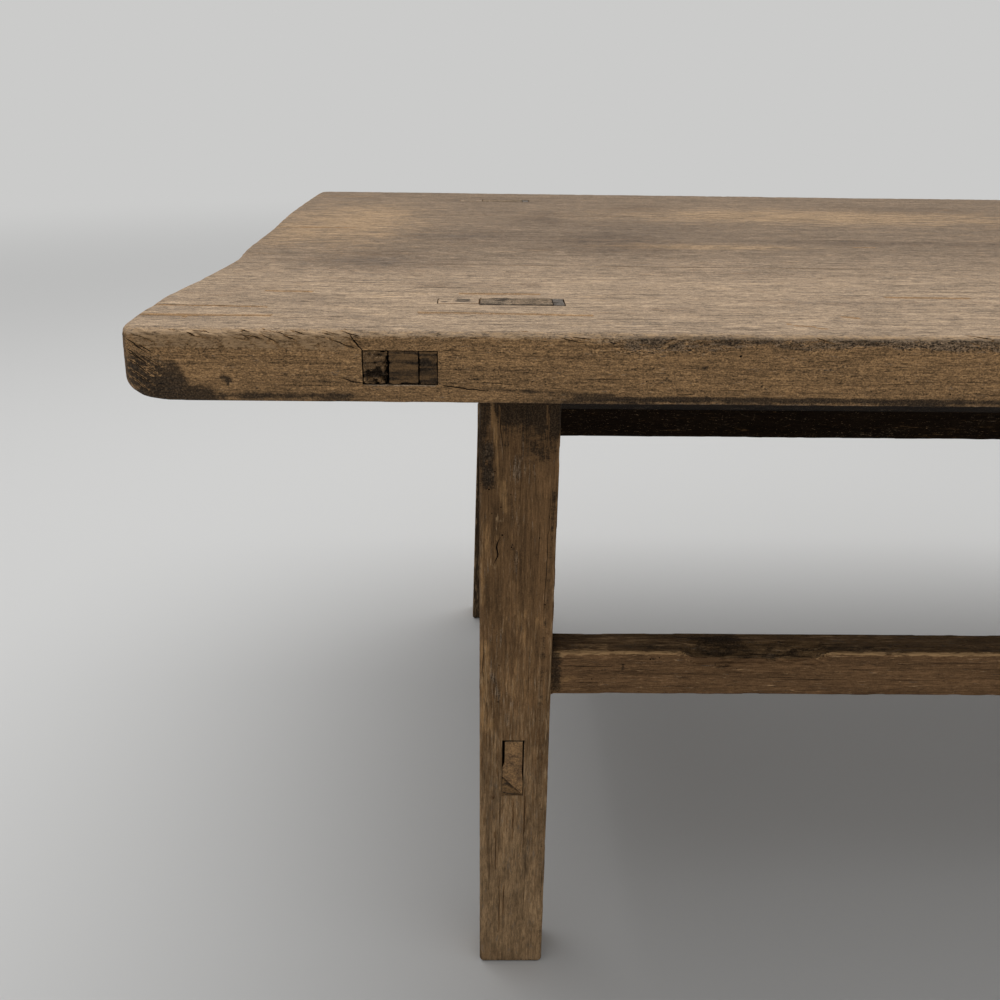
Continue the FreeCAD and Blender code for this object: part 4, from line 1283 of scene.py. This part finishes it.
# %% Build the legs
def build_leg(side, end, seed):
    """A leg, cut, leant, worn and painted."""
    points, quads = cut_leg(side, end)
    shaped, gaps = shape_leg(points, side, end, seed)
    a, b, foot, body = gaps
    facing = outward(shaped, quads)
    wave = waves(shaped, seed + 1, 0.05, (30, 30, 90), 0.04, (6, 6, 26))
    arris = np.where(body, np.maximum(a, b), FAR)
    knocks = hump(arris, 0, 3.0) * rise(lumps(shaped, (5, 5, 9), seed + 3), 0.15, 0.4)
    tenon_wear = 0.04 + 0.22 * rise(lumps(shaped, (3, 2, 3), seed + 4), 0.1, 0.5)
    depth = np.where(body, wave + 0.3 * knocks, tenon_wear) * rise(foot, 0.5, 4)
    worn = shaped - facing * depth[:, None]
    outer = (b < 4) & (points[:, 1] * FACES[side] > 0) & body
    paint = paint_leg(side, end, seed, worn, facing, gaps, outer, knocks)
    name, finish = f"{side}_{end}_leg", {"front": leg_finish, "back": shaded_back_leg_finish}[side]
    blades = leg_blades(side, end, seed)
    return make_piece(name, f"leg_{side}_{end}", finish, worn, quads, paint, blades)


for number, (side, end) in enumerate([(s, e) for s in ("front", "back") for e in ENDS]):
    build_leg(side, end, 50 + number * 7)

# %% [markdown]
# ## Stretchers
# A stretcher is a plain bar with a thinner tenon at each end. The long pair run from leg to leg, and the
# side pair lie lower, a little askew, with the lower corner of each tenon cut away for a wedge.

# %% Marks on the long stretchers
RAIL_ROUND = 2.0
BITE = (-221, -158)
RAIL_SPLINTERS = [(-301, 226.0, -297, 226.4, 1.5, 1.1), (-291, 227.6, -272, 227.8, 0.9, 0.8)]
PALE_ARRIS = [(-303, -228), (-160, -118), (-112, 150), (190, 290)]
RAIL_DARK = [
    (-300, 226, -299, 206, 3.0, 0.6), (-263, 220.5, -263, 217.5, 1.0, 1.0), (-248, 224, -246, 224, 1.2, 0.9),
    (-232, 212, -226, 212, 1.4, 0.6), (-210, 219, -204, 219, 1.6, 0.6), (-288, 216, -270, 217, 1.0, 0.5),
    (-86, 215, -76, 207, 1.6, 0.5), (-72, 212, -66, 205, 1.4, 0.5), (-130, 208, -122, 207, 1.8, 0.4),
]
RAIL_HOLES = [(-263, 219.4, 0.5), (-248, 224, 0.6), (-243, 225, 0.45), (-199, 217.6, 0.4), (-280, 211, 0.4)]
RAIL_CRACKS = [
    ([(-299, 219.5), (-276, 219.0), (-262, 219.6)], 0.4), ([(-222, 220), (-200, 218.5)], 0.45),
    ([(-290, 209), (-272, 208.6)], 0.3), ([(-185, 213), (-160, 212)], 0.3),
    ([(-120, 222), (-96, 221)], 0.3), ([(-205, 225), (-190, 222.5)], 0.6),
    ([(-183, 225.5), (-170, 224)], 0.6), ([(-60, 215), (-20, 216)], 0.35), ([(60, 210), (95, 211)], 0.3),
    ([(170, 221), (215, 220)], 0.35),
]


def rail_blades(low, seed):
    """Worm holes and cracks in the front stretcher's outer face."""
    into = (0, 1, 0)
    blades = [pin(np.array((x, low[1], z)), into, radius, 2.5) for x, z, radius in RAIL_HOLES]
    for n, (stops, width) in enumerate(RAIL_CRACKS):
        path = wander([(x, low[1], z) for x, z in stops], seed + 30 + n, 0.3)
        blades.append(blade(path, into, width, 2.0))
    return blades


print("on the front stretcher:", len(RAIL_DARK), "dark marks,", len(RAIL_HOLES), "worm holes")

# %% Cut and round a long stretcher
def cut_rail(side):
    """The points and faces of a sharp long stretcher, and how far out its shoulders are."""
    low, high = box_of(f"stretcher_{side}")
    middle = (low + high) / 2
    share = 1 - middle[2] / under_z
    lean = LEG_ALONG + FOOT_SHIFT[side] * share
    shoulder = lean - (LEG_HEAD[0] + (LEG_FOOT[0] - LEG_HEAD[0]) * share) / 2
    tenon = RAIL_TENON / 2 - TENON_GAP
    xs = grid_lines(low[0], high[0], 1.8, [-shoulder, shoulder], near_both(low[0], high[0], 0.8, 10))
    corners = near_both(low[1], high[1], 0.6, 6)
    ys = grid_lines(low[1], high[1], 1.6, [middle[1] - tenon, middle[1] + tenon], corners)
    zs = grid_lines(low[2], high[2], 1.6, (), [near(low[2], 0.6, 6), near(high[2], 0.6, 8)])
    cells = cell_middles(xs, ys, zs)
    wood = inside(cells, (-shoulder, -FAR, 0), (shoulder, FAR, FAR))
    wood = wood | inside(cells, (-FAR, middle[1] - tenon, 0), (FAR, middle[1] + tenon, FAR))
    points, quads = surface(xs, ys, zs, wood)
    return points, quads, shoulder


def round_rail(points, low, high, body, kept, seed):
    """Rounds the arrises of a long stretcher's body, but only a little where they are kept from wear. Gives
    the new points and how far each one was from its arris."""
    middle = (low + high) / 2
    a = np.where(points[:, 1] < middle[1], points[:, 1] - low[1], high[1] - points[:, 1])
    b = np.where(points[:, 2] < middle[2], points[:, 2] - low[2], high[2] - points[:, 2])
    line = np.column_stack([points[:, 0], np.sign(points[:, 1:] - middle[1:]) * 50])
    radius = RAIL_ROUND * (0.9 + 0.45 * lumps(line, (26, 20, 20), seed))
    radius = np.where(kept, radius * 0.45, radius)
    eased_a, eased_b = ease(np.where(body, a, FAR), np.where(body, b, FAR), radius)
    eased_a, eased_b = np.where(body, eased_a, a), np.where(body, eased_b, b)
    y = np.where(points[:, 1] < middle[1], low[1] + eased_a, high[1] - eased_a)
    z = np.where(points[:, 2] < middle[2], low[2] + eased_b, high[2] - eased_b)
    return np.stack([points[:, 0], y, z], axis=1), np.where(body, np.maximum(a, b), FAR)


def bite_rail(points, worn, low, high, body, seed):
    """Breaks the bite out of the front stretcher's upper arris. Gives how strong it is at each point."""
    bite = between(points[:, 0], *BITE, 12) * body * (points[:, 2] > (low[2] + high[2]) / 2)
    edge = (points[:, 1] - low[1]) + (high[2] - points[:, 2])
    bite = bite * hump(edge, 0, 8.5 + 2.0 * lumps(points, (12, 4, 4), seed + 4))
    shreds = layered(points, seed + 5, (14, 1.8, 1.8), 0.6, (5, 1.3, 1.3))
    drop = bite * (5.6 + 1.9 * shreds)
    worn[:, 2] -= drop * 0.8
    worn[:, 1] += drop * 0.45
    return bite


print("the front stretcher's shoulders are at", round(cut_rail("front")[2], 1), "mm each way")

# %% Paint a long stretcher
def paint_rail(side, seed, points, height, facing, pale, bite, shoulder):
    """The numbers that a long stretcher's finish reads. height is how high its worn points are."""
    x, front = points[:, 0], side == "front"
    tenon = np.abs(x) >= shoulder - 0.01
    # lit: along the listed stretches of the front stretcher's upper outer arris the wood is paler, partly
    # worn and partly painted highlight
    lit = sum(between(x, *stretch, 2) for stretch in PALE_ARRIS) if front else 0.3
    patchy = layered(points, seed + 7, (40, 9, 9), 0.6, (15, 5, 5), apart=4)
    warm = 0.5 * rise(lumps(points, (70, 14, 14), seed + 9), 0.1, 0.5)
    upward = rise(facing[:, 2], 0.5, 0.9)
    # on the back stretcher the inner and upper faces take the dark underside tone: painted shade
    painted_shade_faces = np.maximum(rise(facing[:, 1] * -FACES[side], 0.3, 0.8), upward) * (not front)
    dirt_and_shade = 0.5 * hump(shoulder - np.abs(x), 0, 5) + upward * (0.32 + 0.34 * patchy)
    dirt_and_shade += bite * (0.16 + 0.4 * lumps(points, (9, 3, 3), seed + 12))
    dirt_and_shade += 0.3 * rise(patchy, 0.5, 1.2)
    torn = pale * lit * (1.05 + 0.4 * patchy) * (1 - bite)
    if front:
        dirt_and_shade += strokes(x, height, RAIL_DARK) * (1 - upward)
        torn += strokes(x, height, RAIL_SPLINTERS) * (points[:, 1] < np.min(points[:, 1]) + 9)
    torn += 0.6 * bite * rise(lumps(points, (16, 1.4, 1.4), seed + 13), 0.35, 0.9)
    return {
        # only the front stretcher takes the upper tone on its upper faces; the back one stays dark: painted
        # shade
        "sun_and_painted_light": rise(facing[:, 2], 0.3, 0.8) * front,
        "under": np.maximum(rise(-facing[:, 2], 0.5, 0.9), painted_shade_faces),
        "end": (np.abs(facing[:, 0]) > 0.7) & tenon,
        "torn": torn,
        "dirt_and_shade": dirt_and_shade,
        "fuzz": np.full(len(points), 0.3),
        "grey": 0.3 * rise(-patchy, 0.3, 1.0),
        "stain": 0.4 * rise(lumps(points, (50, 14, 14), seed + 8), 0.1, 0.5),
        "warm": (warm + 0.3 * upward) * front,
    }


# %% Build the long stretchers
def build_long_stretcher(side, seed):
    """A long stretcher, with the bite that has broken out of the front one."""
    low, high = box_of(f"stretcher_{side}")
    middle = (low + high) / 2
    points, quads, shoulder = cut_rail(side)
    body = np.abs(points[:, 0]) < shoulder - 0.01
    kept = (points[:, 2] > middle[2]) & (side == "back")
    shaped, arris = round_rail(points, low, high, body, kept, seed)
    facing = outward(shaped, quads)
    wave = waves(shaped, seed + 1, 0.05, (110, 30, 30), 0.05, (26, 6, 6))
    knocks = hump(arris, 0, 2.5) * rise(lumps(shaped, (9, 4, 4), seed + 3), 0.1, 0.35)
    depth = np.where(body, (wave + 0.25 * knocks) * np.where(kept, 0.4, 1), 0.15)
    worn = shaped - facing * depth[:, None]
    outer_upper = (points[:, 2] > middle[2]) & ((points[:, 1] - middle[1]) * FACES[side] > 0)
    pale = hump(np.where(outer_upper, arris, FAR), 0.3, 1.5)
    bite, blades, finish = np.zeros(len(points)), [], shaded_back_long_finish
    if side == "front":
        bite = bite_rail(points, worn, low, high, body, seed)
        blades, finish = rail_blades(low, seed), long_finish
    paint = paint_rail(side, seed, points, worn[:, 2], facing, pale, bite, shoulder)
    node = f"stretcher_{side}"
    return make_piece(f"{side}_stretcher", node, finish, worn, quads, paint, blades)


build_long_stretcher("front", seed=81)
build_long_stretcher("back", seed=92)

# %% Cut a side stretcher
SIDE_BODY = (22.0, 34.0)
WEDGE_HIGH, WEDGE_TIP = 13.9, 0.8


def tenon_lift(across):
    """How high the tenon's lower face is cut up, from its inner side, 0, to its outer side, 1."""
    return WEDGE_TIP + (WEDGE_HIGH - WEDGE_TIP) * across


def cut_side_stretcher(low, high):
    """The points and faces of a straight, sharp side stretcher, how far out its shoulders are, and how
    high its body begins."""
    share = 1 - (low[2] + high[2]) / 2 / under_z
    shoulder = LEG_ACROSS - FOOT_TUCK * share - (LEG_HEAD[1] + (LEG_FOOT[1] - LEG_HEAD[1]) * share) / 2
    half, belly = SIDE_BODY[0] / 2, high[2] - SIDE_BODY[1]
    tenon = SIDE_TENON / 2 - TENON_GAP
    xs = grid_lines(-half, half, 1.6, [-tenon, tenon], near_both(-half, half, 0.6, 6))
    ends = near_both(low[1], high[1], 0.7, 10)
    ys = grid_lines(low[1], high[1], 2.4, [-shoulder, shoulder], ends)
    zs = grid_lines(low[2], high[2], 1.6, [belly], near_both(belly, high[2], 0.6, 6))
    cells = cell_middles(xs, ys, zs)
    wood = inside(cells, (-half, -shoulder, belly), (half, shoulder, FAR))
    wood = wood | (inside(cells, (-tenon, -FAR, 0), (tenon, FAR, FAR)) & (np.abs(cells[1]) > shoulder))
    points, quads = surface(xs, ys, zs, wood)
    return points, quads, shoulder, belly


def lay_askew(points, x, z, low, high, end, shoulder):
    """Where a side stretcher's rounded points go: its tenons are cut up for the wedges and a little slack,
    and it runs from the middle of one wedge to the middle of the other."""
    out, tenon = ENDS[end], SIDE_TENON / 2 - TENON_GAP
    middles = []
    for side in FACES:
        wedge_low, wedge_high = box_of(f"side_tenon_wedge_{side}_{end}")
        middles.append((wedge_low[0] + wedge_high[0]) / 2)
    beyond = np.abs(points[:, 1]) > shoulder + 0.01
    across = (points[:, 0] * out + tenon) / (2 * tenon)
    lift = np.where(beyond, tenon_lift(across) * (high[2] - z) / (high[2] - low[2]), 0)
    run = (points[:, 1] - low[1]) / (high[1] - low[1])
    centre = middles[0] + (middles[1] - middles[0]) * run
    near_tip = rise(np.abs(points[:, 1]) - shoulder, 12, 26) * beyond
    outer_half, inner_half = points[:, 0] * out > 0.1, points[:, 0] * out < -0.1
    slack = 1.2 * outer_half * rise(z, low[2] + 10, low[2] + 15)
    slack = slack - 0.55 * inner_half * rise(z, low[2] + 8, low[2] + 18)
    settled = 0.8 * rise(z, high[2] - 9, high[2])
    x, z = x + centre - out * slack * near_tip, z + lift - settled * near_tip
    return np.stack([x, points[:, 1], z], axis=1)


print("a side tenon is cut up by", tenon_lift(0), "to", tenon_lift(1), "mm")

# %% Build the side stretchers
def build_side_stretcher(end, seed):
    """A side stretcher, laid a little askew between its legs."""
    node = f"side_stretcher_{end}"
    low, high = box_of(node)
    points, quads, shoulder, belly = cut_side_stretcher(low, high)
    half = SIDE_BODY[0] / 2
    body = np.abs(points[:, 1]) < shoulder - 0.01
    a = half - np.abs(points[:, 0])
    b = np.minimum(points[:, 2] - belly, high[2] - points[:, 2])
    eased_a, eased_b = ease(np.where(body, a, FAR), np.where(body, b, FAR), RAIL_ROUND)
    x = np.where(body, np.sign(points[:, 0]) * (half - eased_a), points[:, 0])
    upper = points[:, 2] > (belly + high[2]) / 2
    z = np.where(body, np.where(upper, high[2] - eased_b, belly + eased_b), points[:, 2])
    shaped = lay_askew(points, x, z, low, high, end, shoulder)
    facing = outward(shaped, quads)
    wave = waves(shaped, seed + 1, 0.15, (30, 110, 30), 0.1, (6, 26, 6))
    arris = np.where(body, np.maximum(a, b), FAR)
    knocks = hump(arris, 0, 2.5) * rise(lumps(shaped, (4, 9, 4), seed + 3), 0.1, 0.35)
    tenon_wear = 0.15 + 0.2 * rise(lumps(shaped, (3, 3, 3), seed + 4), 0, 0.4)
    depth = np.where(body, wave + 0.35 * knocks, tenon_wear)
    worn = shaped - facing * depth[:, None]
    tip = np.abs(points[:, 1]) > high[1] - 3
    paint = {
        "sun_and_painted_light": rise(facing[:, 2], 0.3, 0.8),
        "under": rise(-facing[:, 2], 0.5, 0.9),
        "end": 0.35 * (np.abs(facing[:, 1]) > 0.7) * (~body) * tip,
        "torn": 0.4 * knocks,
        "dirt_and_shade": 0.3 * rise(facing[:, 2], 0.5, 0.9) + 0.5 * hump(shoulder - np.abs(points[:, 1]), 0, 5) * body,
        "fuzz": np.full(len(points), 0.3),
        "stain": 0.4 * rise(lumps(points, (14, 50, 14), seed + 8), 0.1, 0.5),
        "warm": 0.6 * rise(lumps(points, (14, 70, 14), seed + 9), 0.1, 0.5) + 0.75 * tip * ~body,
    }
    return make_piece(f"{end}_side_stretcher", node, side_finish, worn, quads, paint)


for number, end in enumerate(ENDS):
    build_side_stretcher(end, 101 + number * 9)

# %% [markdown]
# ## Wedges, packings and battens
# The small pieces show only their ends. There the fibres are cut across, and a century of damp has made
# them crumble, so each end is a close grid that sinks unevenly and stands back from the hole around it.

# %% Build the small pieces
STICK_ROUND = 0.7
LEAST_WEAR = 0.03


def build_stick(name, node, finish, length_axis, seed, step=0.9, sink=0.5, gap=0.22, warp=None, rot=0.0,
                soil=0.0, face_grain=False):
    """A small piece from its box. length_axis is its long way, warp tapers it, rot crumbles its ends."""
    low, high = box_of(node)
    lines = []
    for axis in range(3):
        if axis == length_axis:
            ends = near_both(low[axis], high[axis], 0.5, 5)
            lines.append(grid_lines(low[axis], high[axis], 12.0, (), ends))
        else:
            lines.append(grid_lines(low[axis], high[axis], step))
    wood = np.ones([len(line) - 1 for line in lines], bool)
    points, quads = surface(*lines, wood)
    core = np.clip(points, low + STICK_ROUND, high - STICK_ROUND)
    reach = points - core
    longest = np.abs(reach).max(axis=1)
    points = core + reach * (longest / np.maximum(np.linalg.norm(reach, axis=1), 1e-9))[:, None]
    facing = outward(points, quads)
    place = points[:, length_axis]
    to_end = np.minimum(place - low[length_axis], high[length_axis] - place)
    rag = layered(points, seed, (2.0, 2.2, 1.6), 0.8, (1.0, 1.0, 0.9))
    tip = rise(4 - to_end, 0, 4)
    depth = gap * (1 + 1.2 * rag * tip) + tip * gap * 0.5 * (1 + rag)
    is_end = np.abs(facing[:, length_axis]) > 0.6
    middle, size = (low + high) / 2, high - low
    inner = -np.sign(middle[0]) * (points[:, 0] - middle[0]) / size[0]
    lower_inner = inner - (points[:, 2] - middle[2]) / size[2]
    pit = rise(rag + 0.6 * lower_inner, 0.2, 0.6) * (rot > 0)
    streak = layered(points, seed + 2, (11, 5, 1.1), 0.5, (4, 5, 0.7))
    grooves = 0.5 * rise(streak, 0.25, 0.6) * (not face_grain)
    depth = np.where(is_end, sink * (0.5 + 0.4 * rag) + rot * pit + grooves, depth)
    points = points - facing * np.maximum(depth, LEAST_WEAR)[:, None]
    if warp:
        points = warp(points, low, high)
    paint = {
        "sun_and_painted_light": rise(facing[:, 2], 0.3, 0.8),
        "under": rise(-facing[:, 2], 0.5, 0.9),
        "end": is_end * (0.0 if face_grain else 0.9),
        # the sides, hidden in the holes, are darkened: painted shade
        "dirt_and_shade": np.where(is_end, soil + 0.7 * pit + 0.75 * rise(streak, 0.1, 0.6), 0.8),
        "fuzz": np.full(len(points), 0.3),
        "torn": np.where(is_end, 0.3 * (rot > 0) * (1 - pit), 0),
    }
    return make_piece(name, node, finish, points, quads, paint)


def batten_wedge_taper(side, keep, tip):
    """Narrows a batten wedge away from the edge. keep is the sign of the face that stays."""
    def warp(points, low, high):
        face = {"front": low[1], "back": high[1]}[side]
        run = np.abs(points[:, 1] - face) / (high[1] - low[1])
        width = high[0] - low[0]
        kept = high[0] if keep > 0 else low[0]
        scale = 1 + (tip / width - 1) * run
        return np.stack([kept + (points[:, 0] - kept) * scale, points[:, 1], points[:, 2]], axis=1)
    return warp


def side_wedge_slope(end):
    """Slopes the upper face of the wedge under a side stretcher's tenon."""
    def warp(points, low, high):
        across = (points[:, 0] - low[0]) / (high[0] - low[0])
        across = 1 - across if ENDS[end] < 0 else across
        share = (points[:, 2] - low[2]) / (high[2] - low[2])
        return np.stack([points[:, 0], points[:, 1], low[2] + share * tenon_lift(across)], axis=1)
    return warp


OUTER_TIP, INNER_TIP = 5.0, 4.0
seed = 200
for end, out in ENDS.items():
    build_stick(f"{end}_batten", f"batten_{end}", batten_finish, 1, seed, sink=0.4, soil=0.3)
    for side in ("front", "back"):
        seed += 20
        where = f"{side}_{end}"
        build_stick(f"{where}_outer_batten_wedge", f"batten_wedge_{where}_outer", batten_finish, 1, seed + 1,
                    step=0.7, sink=0.5, rot=2.2, gap=1.1,
                    warp=batten_wedge_taper(side, -out, OUTER_TIP))
        build_stick(f"{where}_inner_batten_wedge", f"batten_wedge_{where}_inner", batten_finish, 1, seed + 2,
                    sink=0.6, soil=0.36,
                    warp=batten_wedge_taper(side, out, INNER_TIP))
        build_stick(f"{where}_tenon_wedge", f"tenon_wedge_{where}", wedge_finish, 2, seed + 3, step=0.7,
                    sink=0.3, gap=0.12)
        build_stick(f"{where}_tenon_packing", f"tenon_packing_{where}", packing_finish, 2, seed + 4,
                    sink=0.1, gap=0.04, face_grain=True)
        build_stick(f"{where}_side_wedge", f"side_tenon_wedge_{where}", side_finish, 1, seed + 5, sink=0.5,
                    warp=side_wedge_slope(end))

# %% [markdown]
# ## The room for the picture
# A plain pale floor takes the shadow, and far from the table it fades into its own plain tone. One large
# soft lamp hangs above and behind the table, as a skylight would. An even sky fills the rest, so that a
# colour comes out much as it is mixed. The camera and reflections see the floor's tone in place of it.

# %% Floor
FLOOR_SIZE = 60.0
FLOOR_TONE = tint(203, 203, 202)
PLAIN_FROM, PLAIN_TO = 1.3, 4.5
SKY_STRENGTH = 0.55
LAMP_WATTS = 38.0
LAMP_SIZE, LAMP_PLACE, LAMP_TILT = (3.0, 1.6), (-0.3, 0.45, 2.3), (-11, -7)


def far_tone(tree):
    """A shader that shows the floor's own tone, whatever the light."""
    glow = tree.nodes.new("ShaderNodeEmission")
    glow.inputs["Color"].default_value = FLOOR_TONE
    return glow.outputs[0]


def mix_shaders(tree, share, one, two):
    """A shader that is one where share is 0 and two where it is 1."""
    node = tree.nodes.new("ShaderNodeMixShader")
    for socket, output in enumerate((share, one, two)):
        tree.links.new(output, node.inputs[socket])
    return node.outputs[0]


floor_mesh = bpy.data.meshes.new("floor")
edge = FLOOR_SIZE / 2
corners = [(-edge, -edge, 0), (edge, -edge, 0), (edge, edge, 0), (-edge, edge, 0)]
floor_mesh.from_pydata(corners, [], [(0, 1, 2, 3)])
floor = bpy.data.objects.new("floor", floor_mesh)
bpy.context.scene.collection.objects.link(floor)
plaster = bpy.data.materials.new("floor_plaster")
plaster.use_nodes = True
tree = plaster.node_tree
tree.nodes["Principled BSDF"].inputs["Base Color"].default_value = FLOOR_TONE
tree.nodes["Principled BSDF"].inputs["Roughness"].default_value = 0.9
away = tree.nodes.new("ShaderNodeVectorMath")
away.operation = "LENGTH"
tree.links.new(tree.nodes.new("ShaderNodeTexCoord").outputs["Object"], away.inputs[0])
fade = tree.nodes.new("ShaderNodeMapRange")
fade.interpolation_type = "SMOOTHSTEP"
fade.inputs["From Min"].default_value, fade.inputs["From Max"].default_value = PLAIN_FROM, PLAIN_TO
tree.links.new(away.outputs["Value"], fade.inputs["Value"])
blend = mix_shaders(tree, fade.outputs["Result"], tree.nodes["Principled BSDF"].outputs[0], far_tone(tree))
tree.links.new(blend, tree.nodes["Material Output"].inputs["Surface"])
floor_mesh.materials.append(plaster)
floor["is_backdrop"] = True
print("floor", FLOOR_SIZE, "m wide")

# %% Light and sky
sky = bpy.data.worlds.new("sky")
sky.use_nodes = True
tree = sky.node_tree
tree.nodes["Background"].inputs["Color"].default_value = (1.0, 1.0, 1.0, 1)
tree.nodes["Background"].inputs["Strength"].default_value = SKY_STRENGTH
behind = tree.nodes.new("ShaderNodeBackground")
behind.inputs["Color"].default_value = FLOOR_TONE
ray = tree.nodes.new("ShaderNodeLightPath")
seen = ray.outputs["Is Camera Ray"]
for kind in ("Is Glossy Ray", "Is Transmission Ray"):
    either = tree.nodes.new("ShaderNodeMath")
    either.operation = "MAXIMUM"
    tree.links.new(seen, either.inputs[0])
    tree.links.new(ray.outputs[kind], either.inputs[1])
    seen = either.outputs[0]
choose = mix_shaders(tree, seen, tree.nodes["Background"].outputs[0], behind.outputs[0])
tree.links.new(choose, tree.nodes["World Output"].inputs["Surface"])
bpy.context.scene.world = sky

lamp = bpy.data.objects.new("skylight", bpy.data.lights.new("skylight", "AREA"))
lamp.data.shape = "RECTANGLE"
lamp.data.size, lamp.data.size_y = LAMP_SIZE
lamp.data.energy = LAMP_WATTS
tilts = [Matrix.Rotation(math.radians(tilt), 4, axis) for tilt, axis in zip(LAMP_TILT, "XY")]
lamp.matrix_world = Matrix.Translation(LAMP_PLACE) @ tilts[0] @ tilts[1]
bpy.context.scene.collection.objects.link(lamp)
print("sky", SKY_STRENGTH, "lamp", LAMP_WATTS)

# %% [markdown]
# ## The camera
# The photograph looks down on the near-left corner from about half a metre, with a lens as wide as its
# film. Its tilt was found by matching the table's own edges.

# %% Set the camera
CAMERA_PLACE = (-0.34146, -0.71047, 0.51842)
PITCH, YAW, ROLL = 22.678, 1.045, 0.824
LENS = FILM = 36.0

camera = bpy.data.objects.new("camera", bpy.data.cameras.new("camera"))
camera.data.lens, camera.data.sensor_width = LENS, FILM
turn = Matrix.Rotation(math.radians(-YAW), 4, "Z") @ Matrix.Rotation(math.radians(90 - PITCH), 4, "X")
camera.matrix_world = Matrix.Translation(CAMERA_PLACE) @ turn @ Matrix.Rotation(math.radians(ROLL), 4, "Z")
bpy.context.scene.collection.objects.link(camera)
bpy.context.scene.camera = camera
bpy.context.scene.view_settings.view_transform = "Standard"
print("camera", [round(place, 3) for place in camera.matrix_world.translation])

# %% [markdown]
# ## Check the size
# The dressed table's box is set beside the frame's, and how far it has grown at its top corner is printed.
# The dressed table may not be larger than the frame.

# %% Compare the boxes
dressed_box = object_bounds()
grown = [round((dressed - cad) / MM, 2) for cad, dressed in zip(cad_box[1], dressed_box[1])]
print("grown by", grown, "mm at the top corner")
